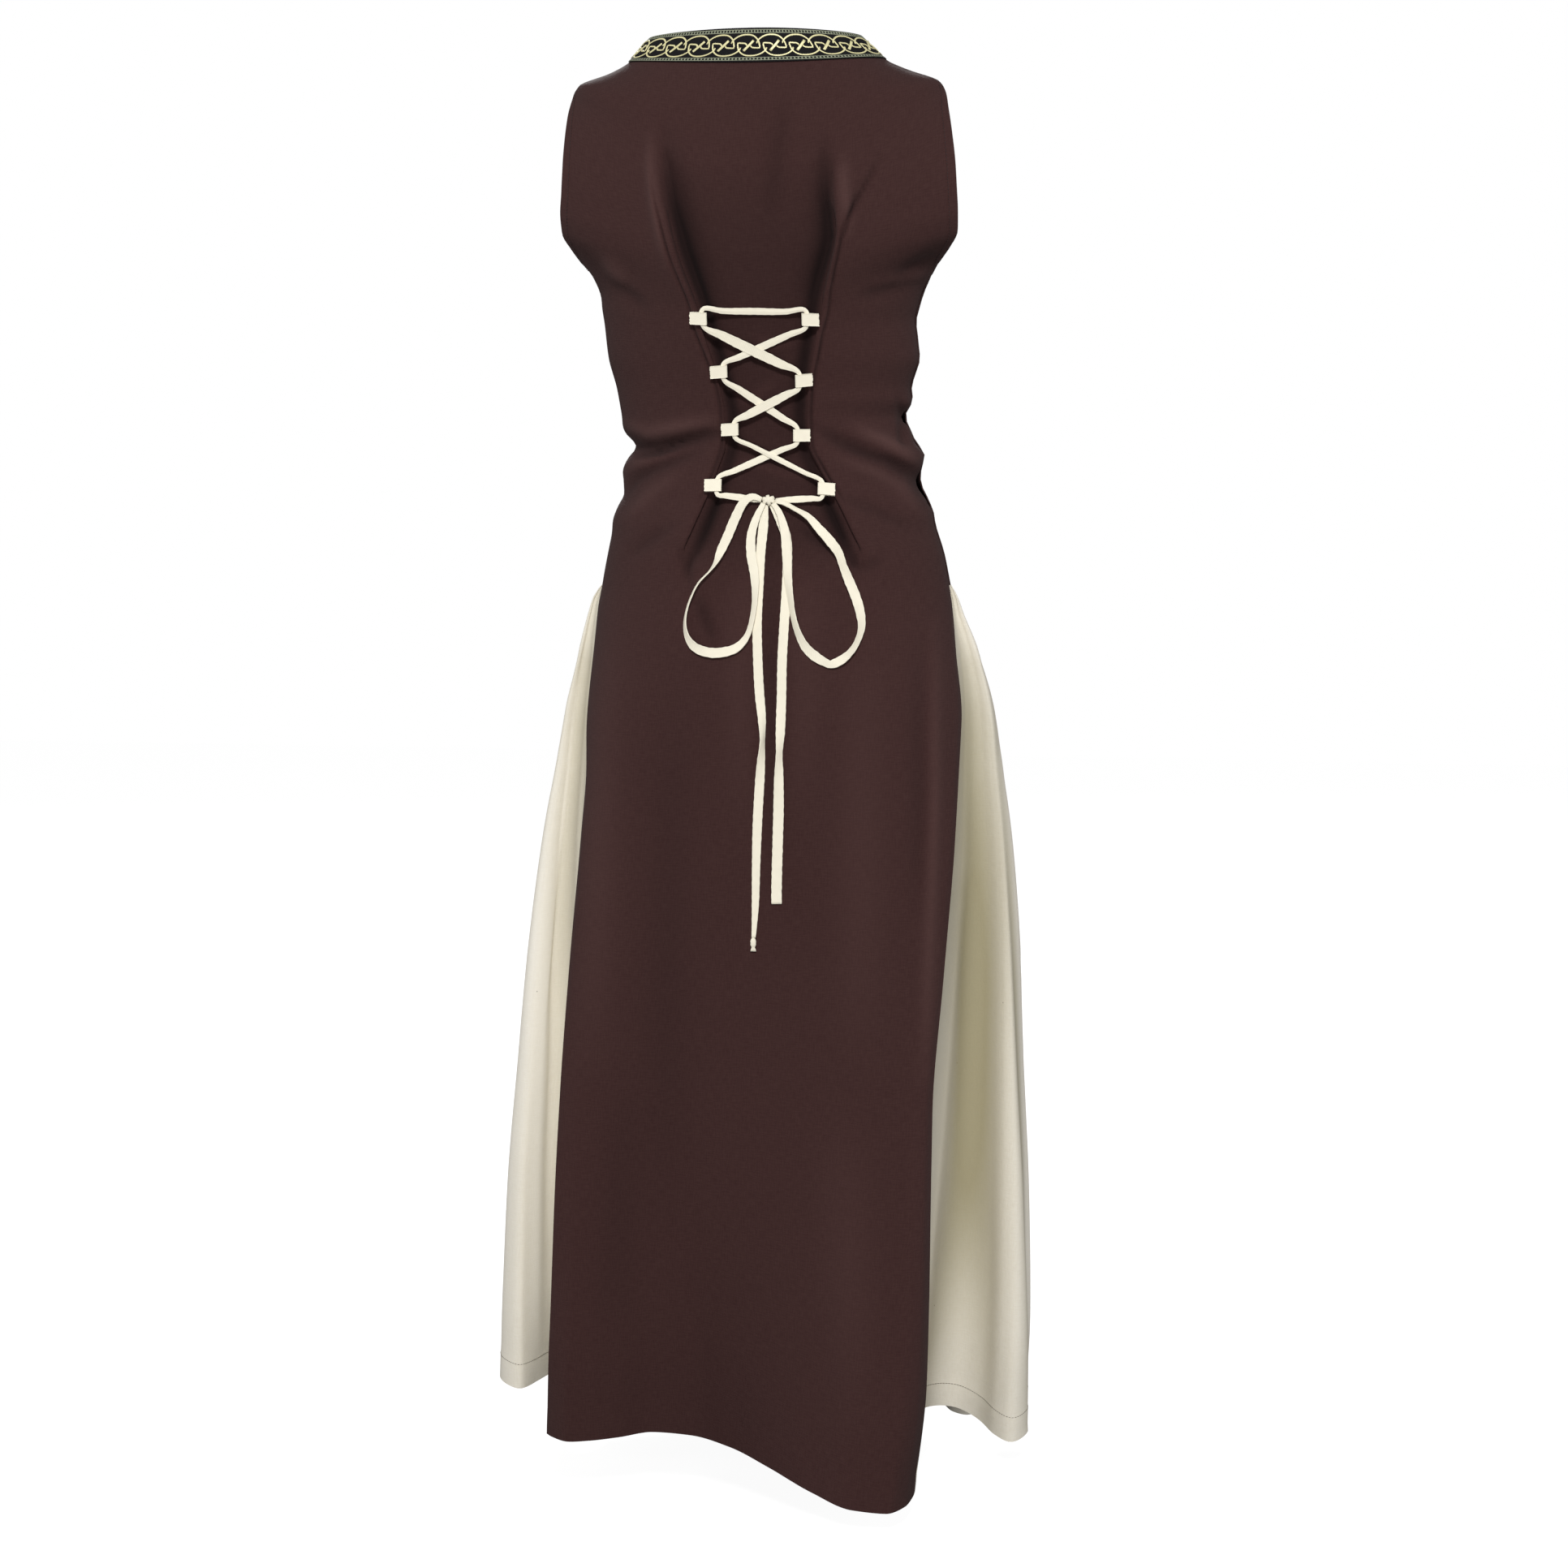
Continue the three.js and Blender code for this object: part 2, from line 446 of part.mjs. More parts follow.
// A flat tape along a line of places, each with its width, thickness and outward direction
function tapeGeometry(places) {
  const points = [];
  const count = places.length;
  places.forEach(({ point, out, width, thick, twist = 0, mitre = 1 }, index) => {
    const from = places[Math.max(index - 1, 0)].point;
    const to = places[Math.min(index + 1, count - 1)].point;
    const along = to.clone().sub(from).normalize();
    const across = along.clone().cross(out).normalize();
    across.applyAxisAngle(along, THREE.MathUtils.degToRad(twist));
    const up = across.clone().cross(along).normalize();
    [[1, 1], [-1, 1], [-1, -1], [1, -1]].forEach(([a, b]) => {
      const corner = point.clone().addScaledVector(across, (a * width * mitre) / 2);
      points.push(corner.addScaledVector(up, (b * thick) / 2));
    });
  });
  const triangles = [];
  for (let index = 0; index < count - 1; index += 1) {
    for (let side = 0; side < 4; side += 1) {
      const a = index * 4 + side;
      const b = index * 4 + ((side + 1) % 4);
      triangles.push(a, b + 4, b, a, a + 4, b + 4);
    }
  }
  const tail = (count - 1) * 4;
  triangles.push(0, 2, 3, 0, 1, 2);
  triangles.push(tail, tail + 2, tail + 1, tail, tail + 3, tail + 2);
  return geometryOf(points, triangles);
}

function runPlaces(run) {
  return run.map(({ x, z, lift, ...tape }) => ({ ...backPlace(x, z, lift), ...tape }));
}

// Where a tape loop lies: over the tuck edge, leaning half way from the panel's slope to straight back
function loopFrame({ x, z, inward }) {
  const { out } = backPlace(x, z, 0);
  const straight = new THREE.Vector3(0, out.y, out.z).normalize();
  const lean = out.clone().lerp(straight, LOOP_LEAN).normalize();
  const acrossIn = new THREE.Vector3(inward, 0, 0);
  acrossIn.addScaledVector(lean, -acrossIn.dot(lean)).normalize();
  const up = inward > 0 ? lean.clone().cross(acrossIn) : acrossIn.clone().cross(lean);
  const seat = TUCK_FOLD[2].height + CLOTH_WALL / 2 + LOOP_CLEAR + LOOP_WALL + LOOP_MOUTH / 2;
  const level = levelAt(levelOfHeight(z));
  const edge = inward < 0 ? level.tuckLeft : -level.tuckRight;
  const { point } = backPlace(edge, z, seat);
  const centre = point.addScaledVector(acrossIn, (x - edge) * inward);
  return { centre, acrossIn, lean, up: up.z > 0 ? up : up.negate() };
}

function loopMesh(loop) {
  const { centre, acrossIn, lean, up } = loopFrame(loop);
  const halfLength = LOOP_LENGTH / 2;
  const halfDepth = LOOP_MOUTH / 2 + LOOP_WALL;
  const outline = new THREE.Shape();
  outline.moveTo(-halfLength, -halfDepth);
  outline.lineTo(halfLength - halfDepth, -halfDepth);
  outline.lineTo(halfLength, 0);
  outline.lineTo(halfLength - halfDepth, halfDepth);
  outline.lineTo(-halfLength, halfDepth);
  const mouth = new THREE.Path();
  mouth.moveTo(LOOP_WALL - halfLength, -LOOP_MOUTH / 2);
  mouth.lineTo(LOOP_WALL - halfLength, LOOP_MOUTH / 2);
  mouth.lineTo(halfLength - halfDepth, LOOP_MOUTH / 2);
  mouth.lineTo(halfLength - halfDepth + LOOP_MOUTH / 2, 0);
  mouth.lineTo(halfLength - halfDepth, -LOOP_MOUTH / 2);
  outline.holes.push(mouth);
  const geometry = new THREE.ExtrudeGeometry(outline, { depth: LOOP_HEIGHT, bevelEnabled: false, steps: 1 });
  geometry.translate(0, 0, -LOOP_HEIGHT / 2);
  const mesh = named(`lace_loop_${loop.name}`, geometry, TAPE);
  const axisY = up.clone().cross(acrossIn);
  mesh.quaternion.setFromRotationMatrix(new THREE.Matrix4().makeBasis(acrossIn, axisY, up));
  mesh.position.copy(centre);
  return mesh;
}

// The two ends of the lace's way through a loop, head first
function loopEnds(loop) {
  const { centre, acrossIn, lean, up } = loopFrame(loop);
  const middle = centre.clone().addScaledVector(acrossIn, LOOP_LACE_OFFSET);
  const end = (reach) => ({
    point: middle.clone().addScaledVector(up, reach), out: lean, width: LACE_NARROW, thick: TAPE_WALL,
  });
  return { head: end(LOOP_HEIGHT / 2 + loop.headOut), foot: end(-LOOP_HEIGHT / 2 - loop.footOut) };
}

// Places between two ends of the lace, bent out of the straight line by a hump
function crossing(from, to, hump, width = LACE_WIDE) {
  return LACE_SHARES.map((share) => {
    const out = from.out.clone().lerp(to.out, share).normalize();
    const bend = hump * Math.sin(Math.PI * share);
    const point = from.point.clone().lerp(to.point, share).addScaledVector(out, bend);
    return { point, out, width, thick: TAPE_WALL };
  });
}

function lacedPlaces() {
  const ends = Object.fromEntries(LACE_LOOPS.map((loop) => [loop.name, loopEnds(loop)]));
  const toKnot = (end, side) => {
    const reach = KNOT.halfWidth + SEAM_GAP;
    const last = backPlace(KNOT.x + side * reach, KNOT.z, KNOT.laceLift);
    const stop = { ...last, width: LACE_NARROW, thick: TAPE_WALL };
    return [...crossing(end, stop, 0, LACE_BAR), stop];
  };
  const places = toKnot(ends.r4.foot, -1).reverse();
  places.push(ends.r4.foot, ends.r4.head);
  CROSSINGS_UP.forEach(([from, to]) => {
    places.push(...crossing(ends[from].head, ends[to].foot, LACE_OVER), ends[to].foot, ends[to].head);
  });
  const bar = crossing(ends.l1.head, ends.r1.head, 0, LACE_BAR);
  bar.forEach((place) => {
    place.point.z -= BAR_SAG;
  });
  places.push(...bar, ends.r1.head, ends.r1.foot);
  CROSSINGS_DOWN.forEach(([from, to]) => {
    places.push(...crossing(ends[from].foot, ends[to].head, LACE_UNDER), ends[to].head, ends[to].foot);
  });
  places.push(...toKnot(ends.l4.foot, 1));
  return places;
}

function knotGeometry() {
  const { x, z, halfWidth, halfDepth, halfHeight } = KNOT;
  const { point } = backPlace(x, z, RECESS + CLOTH_WALL / 2 + SEAM_GAP + halfDepth);
  const geometry = new THREE.SphereGeometry(1, 12, 8);
  geometry.scale(halfWidth, halfDepth, halfHeight);
  geometry.translate(point.x, point.y, point.z);
  return geometry;
}

function named(name, geometry, look) {
  const mesh = new THREE.Mesh(geometry, new THREE.MeshStandardMaterial(look));
  mesh.name = name;
  return mesh;
}

const bodice = Array.from({ length: Math.floor(GORE_TOP_LEVEL) + 1 }, (none, index) => index);
const skirt = LEVELS.map((level, index) => index).filter((index) => index > GORE_TOP_LEVEL);
const positions = [...bodice, GORE_TOP_LEVEL, ...skirt];
const gorePositions = [GORE_TOP_LEVEL, ...skirt];
const goreRows = positions.map((position, row) => row).slice(bodice.length);
const back = backGrid(positions);
const front = frontGrid(positions);

const leftEdges = [panelEdge(back, goreRows, -1, -2), panelEdge(front, goreRows, 0, 1)];
const rightEdges = [panelEdge(back, goreRows, 0, 1), panelEdge(front, goreRows, -1, -2)];
const leftGore = goreGrid(gorePositions, ...leftEdges, LEFT_GORE_HEM, 'goreLeft');
const rightGore = goreGrid(gorePositions, ...rightEdges, RIGHT_GORE_HEM, 'goreRight');

// The braid follows the top rows of both panels, and crosses the shoulder seams unbroken
const braid = [0, 1].map((row) => {
  const leftSeam = back[row].at(-1).clone().lerp(front[row][0], 0.5);
  const rightSeam = front[row].at(-1).clone().lerp(back[row][0], 0.5);
  return [...back[row].slice(1, -1), leftSeam, ...front[row].slice(1, -1), rightSeam];
});
const braidOut = CLOTH_WALL / 2 + SEAM_GAP + BRAID_WALL / 2;

const gown = new THREE.Group();
gown.add(named('back_panel', wallGeometry(back, CLOTH_WALL), BROWN));
gown.add(named('front_panel', wallGeometry(front, CLOTH_WALL), BROWN));
gown.add(named('gore_left', wallGeometry(leftGore, CLOTH_WALL), CREAM));
gown.add(named('gore_right', wallGeometry(rightGore.map((line) => line.reverse()), CLOTH_WALL), CREAM));
const braidWall = wallGeometry(braid, BRAID_WALL, { closed: true, out: braidOut });
gown.add(named('neck_braid', braidWall, BRAID));
LACE_LOOPS.forEach((loop) => gown.add(loopMesh(loop)));
gown.add(named('lace_laced', tapeGeometry(lacedPlaces()), TAPE));
gown.add(named('lace_knot', knotGeometry(), TAPE));
gown.add(named('lace_bow_left', tapeGeometry(runPlaces(BOW_LEFT)), TAPE));
gown.add(named('lace_bow_right', tapeGeometry(runPlaces(BOW_RIGHT)), TAPE));
gown.add(named('lace_tail_left', tapeGeometry(runPlaces(TAIL_LEFT)), TAPE));
gown.add(named('lace_tail_right', tapeGeometry(runPlaces(TAIL_RIGHT)), TAPE));

export default gown;
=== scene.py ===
"""Looks of the medieval gown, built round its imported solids.

Metres, +Z up. The origin lies between the shoulders, +Y is the back of the gown and +X the wearer's left.
Tables are in millimetres, as a pattern cutter writes them, and become metres in the meshes.
"""

import math

import bpy
import numpy as np
from bpy.props import FloatProperty, FloatVectorProperty, PointerProperty
from mathutils import Matrix, Vector


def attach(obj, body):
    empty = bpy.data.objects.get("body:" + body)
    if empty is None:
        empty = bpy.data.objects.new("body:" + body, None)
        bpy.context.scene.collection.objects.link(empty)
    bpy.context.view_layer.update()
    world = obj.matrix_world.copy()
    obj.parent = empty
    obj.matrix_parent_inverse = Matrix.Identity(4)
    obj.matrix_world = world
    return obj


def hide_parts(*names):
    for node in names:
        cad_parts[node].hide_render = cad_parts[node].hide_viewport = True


bl_info = {
    "name": "Medieval gown",
    "version": (1, 0, 0),
    "blender": (4, 5, 0),
    "location": "View3D > Sidebar > Gown",
    "description": "Sleeveless two-colour gown with a laced back and a knotwork braid",
    "category": "Object",
}

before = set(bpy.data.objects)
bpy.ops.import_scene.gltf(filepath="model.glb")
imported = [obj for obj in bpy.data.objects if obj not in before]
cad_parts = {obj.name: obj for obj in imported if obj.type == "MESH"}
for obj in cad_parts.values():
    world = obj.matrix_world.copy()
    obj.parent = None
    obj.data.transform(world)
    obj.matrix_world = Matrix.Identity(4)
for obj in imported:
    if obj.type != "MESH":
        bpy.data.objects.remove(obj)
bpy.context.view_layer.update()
MM = 0.001

# Studio, in metres
CAMERA_AT = (-0.5466, 3.3372, -0.3370)
CAMERA_TARGET = (-0.018, 0.0, -0.716)
CAMERA_LENS = 79.19
STUDIO_BACKDROP = 1.0
STUDIO_AMBIENT = 0.27
FLOOR_GLOW = 0.95
FLOOR_AT = -1415
STUDIO_LAMPS = (
    ("lamp_key", (-0.9, 5.2, 2.9), (0, 0, -0.9), 0.9, 270),
    ("lamp_eye", (-0.4, 5.0, -1.2), (0, 0, -0.9), 0.9, 92),
    ("lamp_left_side", (3.6, 0.2, 0.4), (0, 0, -0.8), 1.1, 40),
    ("lamp_right_side", (-3.6, -0.4, 0.4), (0, 0, -0.8), 1.1, 34),
    ("lamp_front", (0.9, -3.6, 1.8), (0, 0, -0.8), 0.9, 175),
)

# Each panel's and gore's cut, in metres: width and length, then its area in square metres
FLAT_CUTS = {
    "back": ((0.482, 1.543), 0.586), "front": ((0.526, 1.498), 0.552), "gore_left": ((0.573, 0.855), 0.285),
    "gore_right": ((0.560, 0.893), 0.288),
}

# ---- colours ----


def linear(hex_code):
    """An sRGB hex colour as linear red, green and blue."""
    channels = [int(hex_code[i : i + 2], 16) / 255 for i in (1, 3, 5)]
    return [c / 12.92 if c <= 0.04045 else ((c + 0.055) / 1.055) ** 2.4 for c in channels]


# ---- sizes and colours that a user would change ----


class GownCloth(bpy.types.PropertyGroup):
    """Cloth of the panels and the gores."""

    thickness: FloatProperty(
        name="Thickness", description="One layer of the cloth", default=0.0007, unit="LENGTH"
    )
    hem_thickness: FloatProperty(
        name="Hem thickness", description="Cloth turned under at an edge", default=0.0016, unit="LENGTH"
    )
    brown: FloatVectorProperty(
        name="Brown", description="Back and front panels", default=linear("#341f1e"), subtype="COLOR", size=3
    )
    brown_worn: FloatVectorProperty(
        name="Brown, worn", description="Raised threads", default=linear("#3d2826"), subtype="COLOR", size=3
    )
    # Painted shade: the colour the brown cloth is darkened towards inside its folds
    brown_painted_shade: FloatVectorProperty(
        name="Brown, painted shade", description="Inside the folds", default=linear("#120909"), subtype="COLOR", size=3
    )
    # Painted highlight: the colour the brown cloth is lightened towards on the tops of its folds
    brown_painted_highlight: FloatVectorProperty(
        name="Brown, painted highlight", description="Tops of the folds", default=linear("#5b423f"), subtype="COLOR", size=3
    )
    cream: FloatVectorProperty(
        name="Cream", description="Gores", default=linear("#e2ddd1"), subtype="COLOR", size=3
    )
    cream_uneven: FloatVectorProperty(
        name="Cream, uneven", description="Thicker threads", default=linear("#d8d1c1"), subtype="COLOR", size=3
    )
    # Painted shade: the colour the cream cloth is darkened towards inside its folds
    cream_painted_shade: FloatVectorProperty(
        name="Cream, painted shade", description="Inside the folds", default=linear("#8d8462"), subtype="COLOR", size=3
    )
    # Painted highlight: the colour the cream cloth is lightened towards on the tops of its folds
    cream_painted_highlight: FloatVectorProperty(
        name="Cream, painted highlight", description="Tops of the folds", default=linear("#f0ece3"), subtype="COLOR", size=3
    )


class GownTape(bpy.types.PropertyGroup):
    """Cotton tape of the lace and its loops."""

    thickness: FloatProperty(
        name="Thickness", description="One layer of tape", default=0.0009, unit="LENGTH"
    )
    colour: FloatVectorProperty(
        name="Colour", description="Unbleached cotton", default=linear("#f1ead6"), subtype="COLOR", size=3
    )


class GownBraid(bpy.types.PropertyGroup):
    """Woven braid round the neck."""

    strand_width: FloatProperty(
        name="Strand width", description="Knotwork strand", default=0.0015, unit="LENGTH"
    )
    ground: FloatVectorProperty(
        name="Ground", description="Black ribbon", default=linear("#141316"), subtype="COLOR", size=3
    )
    gold: FloatVectorProperty(
        name="Pale gold", description="Metal thread", default=linear("#e6dfab"), subtype="COLOR", size=3
    )
    border: FloatVectorProperty(
        name="Border", description="Thin lines along both edges", default=linear("#9ba088"), subtype="COLOR", size=3
    )


class GownThread(bpy.types.PropertyGroup):
    """Sewing thread."""

    width: FloatProperty(
        name="Width", description="Thickness of the thread", default=0.0005, unit="LENGTH"
    )
    stitch: FloatProperty(
        name="Stitch", description="Length of one stitch", default=0.0030, unit="LENGTH"
    )
    brown: FloatVectorProperty(
        name="Brown thread", description="Seams of the panels", default=linear("#150d0c"), subtype="COLOR", size=3
    )
    cream: FloatVectorProperty(
        name="Cream thread", description="Hems of the gores", default=linear("#5c503e"), subtype="COLOR", size=3
    )


class GownSettings(bpy.types.PropertyGroup):
    """All settings of the gown."""

    cloth: PointerProperty(type=GownCloth)
    tape: PointerProperty(type=GownTape)
    braid: PointerProperty(type=GownBraid)
    thread: PointerProperty(type=GownThread)


def settings():
    return bpy.context.scene.gown


# ---- tables of the gown's form, as in its solids ----

LEVEL_COLUMNS = (
    "side", "left", "right", "backMid", "back", "backEdge", "turn", "frontMid", "front", "frontEdge",
    "frontTurn", "frontIn", "square", "tuckLeft", "tuckRight", "pinch", "goreLeft", "goreRight",
)
LEVELS = np.array([
    [6, 112, 92, 10, 60, 0, 90, -88, 74, 0, 90, 0, 2, 66, 52, 0, 0, 0],
    [-16, 133, 116, -23, 67, 0, 90, -121, 88, 0, 90, 0, 2, 78, 66, 0, 0, 0],
    [-26, 152, 138, -45, 77, 0, 90, -145, 97, 0, 90, 0, 2, 86, 74, 0, 0, 0],
    [-37, 182, 168, -72, 87, 3, 88, -168, 104, 2, 88, 0, 2, 90, 77, 0, 0, 0],
    [-47, 187, 175, -92, 93, 9, 80, -185, 108, 9, 80, 6, 2, 91, 77, 0, 0, 0],
    [-67, 188, 181, -115, 97, 30, 68, -200, 111, 26, 70, 16, 2, 88, 77, 0, 0, 0],
    [-90, 188, 186, -134, 100, 45, 62, -212, 113, 36, 66, 23, 2, 85, 77, 0.3, 0, 0],
    [-115, 188, 190, -152, 102, 55, 60, -223, 115, 42, 64, 27, 2, 81.5, 78, 0.5, 0, 0],
    [-140, 188.5, 192, -170, 103.5, 59, 60, -233, 117, 44, 64, 28, 2, 77, 81, 0.7, 0, 0],
    [-162, 190, 193, -187, 104.5, 58, 62, -242, 118, 42, 66, 26, 2, 72.5, 83, 0.85, 0, 0],
    [-180, 190, 192, -203, 105, 50, 66, -250, 119, 35, 70, 21, 2, 68, 80.5, 0.95, 0, 0],
    [-195, 184, 183, -218, 104.5, 36, 72, -258, 119, 25, 76, 13, 2, 63, 76.5, 1, 0, 0],
    [-208, 178, 172, -231, 104, 16, 80, -266, 119, 11, 83, 5, 2, 58, 73, 1, 0, 0],
    [-222, 169, 161, -243, 103, 0, 90, -274, 118, 0, 90, 0, 2, 53.5, 70, 1, 0, 0],
    [-245, 160, 152, -258, 101, 0, 90, -282, 117, 0, 90, 0, 2, 48.5, 68, 1, 0, 0],
    [-270, 158, 149, -277, 98, 0, 90, -294, 115, 0, 90, 0, 2, 44, 63, 1, 0, 0],
    [-298, 155, 149.5, -300, 94, 0, 90, -310, 111, 0, 90, 0, 2, 37, 59, 1, 0, 0],
    [-328, 147, 143, -328, 89.5, 0, 90, -334, 105, 0, 90, 0, 2, 29.5, 54.5, 1, 0, 0],
    [-355, 142, 140, -355, 86.5, 0, 90, -357, 100, 0, 90, 0, 2, 25.5, 53, 1, 0, 0],
    [-380, 136, 146, -380, 85, 0, 90, -380, 97, 0, 90, 0, 2, 25, 54, 1, 0, 0],
    [-405, 137, 153, -405, 87, 0, 90, -405, 97, 0, 90, 0, 2, 32, 65, 1, 0, 0],
    [-432, 144, 159, -432, 92, 0, 90, -432, 100, 0, 90, 0, 2, 42, 80, 1, 0, 0],
    [-460, 150, 167, -460, 99, 0, 90, -460, 104, 0, 90, 0, 2, 54, 94, 1, 0, 0],
    [-488, 156, 176, -488, 106.5, 0, 90, -488, 107, 0, 90, 0, 2, 65, 106, 0.55, 0, 0],
    [-515, 161, 181.5, -515, 113.5, 0, 90, -515, 110, 0, 90, 0, 2, 70, 110, 0, 166, 184],
    [-545, 165, 187, -545, 119.5, 14, 84, -545, 113, 14, 84, 0, 2.1, 73, 112, 0, 178, 194],
    [-583, 166, 192, -583, 125, 32, 79, -583, 117, 32, 79, 0, 2.3, 75, 112, 0, 190, 210],
    [-645, 168, 200, -645, 130, 56, 76, -645, 122, 56, 74, 0, 2.8, 76, 112, 0, 207, 227],
    [-705, 165, 199, -705, 133, 78, 72, -705, 126, 76, 68, 0, 3, 76, 110, 0, 219, 235],
    [-765, 167, 197, -765, 135.5, 94, 69, -765, 130, 90, 63, 0, 3, 77, 108, 0, 231, 243],
    [-885, 174, 189, -885, 142, 114, 64, -885, 138, 106, 58, 0, 3, 78, 104, 0, 248, 253],
    [-1010, 180, 181, -1010, 150, 130, 59, -1010, 147, 118, 55, 0, 3, 79, 98, 0, 260, 259],
    [-1135, 185, 181, -1135, 158, 138, 56, -1135, 158, 128, 53, 0, 3, 80, 94, 0, 272, 264],
    [-1260, 191, 179, -1260, 166, 136, 54, -1260, 170, 138, 52, 0, 3, 82, 90, 0, 280, 266],
    [-1370, 199, 166, -1370, 172, 119, 54, -1370, 182, 148, 52, 0, 3, 84, 86, 0, 287, 262],
], float)
GORE_TOP = 24.12
HEM = 34
HEM_FALL_FROM = 29
HEM_FALL_POWER = 1.7
GORE_BULGE_POWER = 0.75
GORE_FOLD_POWER = 0.8
GORE_HEM_POWER = 3

# Hems, from the wearer's left to the right
BACK_HEM = np.array([
    [199, 115, -1351], [175, 130, -1352], [155, 127, -1351], [128, 118, -1349], [96, 105, -1346],
    [59, 103, -1348], [16, 117, -1354], [-24, 138, -1365], [-71, 164, -1380], [-113, 181, -1390],
    [-144, 180, -1392], [-160, 158, -1391], [-166, 123, -1389],
], float)
FRONT_HEM = np.array([
    [199, -146, -1352], [176, -164, -1353], [140, -176, -1356], [96, -196, -1360], [52, -188, -1364],
    [10, -176, -1368], [-36, -190, -1373], [-80, -198, -1377], [-124, -182, -1379], [-152, -166, -1380],
    [-166, -146, -1380],
], float)

# The gores' hems between the seams, from the back seam to the front seam
LEFT_GORE_HEM = np.array([
    [182, 72, -1351], [172, 8, -1349], [184, -58, -1346], [208, -84, -1345], [234, -80, -1345],
    [248, -48, -1345], [259, -17, -1345], [275, -28, -1343], [287, -64, -1341], [262, -90, -1342],
    [268, -132, -1345], [238, -146, -1348], [218, -112, -1350], [205, -122, -1351],
], float)
RIGHT_GORE_HEM = np.array([
    [-152, 70, -1382], [-143, 0, -1372], [-147, -70, -1365], [-162, -88, -1364], [-182, -92, -1366],
    [-202, -82, -1372], [-226, -52, -1381], [-243, -43, -1385], [-258, -68, -1381], [-246, -98, -1378],
    [-250, -140, -1378], [-218, -150, -1379], [-192, -112, -1380], [-176, -122, -1380],
], float)

# Section of a tuck: place on the unfolded cloth, place when folded, and height above the panel
TUCK_FOLD = np.array([
    [26, 26, 2.2], [13, 11, 3.9], [6, 4, 4.4], [3, 0.9, 4.1], [1.5, 0, 2.8], [0, 0.9, 1.5],
    [-2.5, 5, 1.1], [-4.5, 6.8, -0.3], [-6.5, 5, -1.7], [-10, 0, -2.0], [-18, -12, -2.8],
], float)
TUCK_FOLD_START = 0.45
TUCK_SPREAD = 45
TUCK_TOP_RISE = 0.7
RECESS = -2.8

# Width of the stitched strip beside each tuck edge at heights down the back
STRIP_HEIGHTS = (-120, -155, -195, -222, -245, -270, -298, -328, -380, -405, -432, -460, -500)
STRIP_LEFT = (9, 9, 8, 7, 6.5, 7.5, 5, 3, 3, 3, 4, 6, 7)
STRIP_RIGHT = (36, 22, 5, 5, 6, 6, 5, 3.5, 3, 3.5, 4.5, 6, 7)

# Small folds that show in the outline at the side seams: side, height, half width, how far out
SIDE_FOLDS = (
    (1, -386, 8, -6.5), (1, -368, 8, 2.0), (1, -408, 9, 4.0), (1, -432, 9, -3.0), (1, -456, 10, 2.0),
    (-1, -340, 7, 3.0), (-1, -356, 7, -3.0), (-1, -392, 10, 6.5), (-1, -420, 9, -3.5), (-1, -446, 10, 2.0),
    (1, -250, 12, 1.5), (-1, -262, 12, -2.0), (-1, -300, 12, 1.5),
)

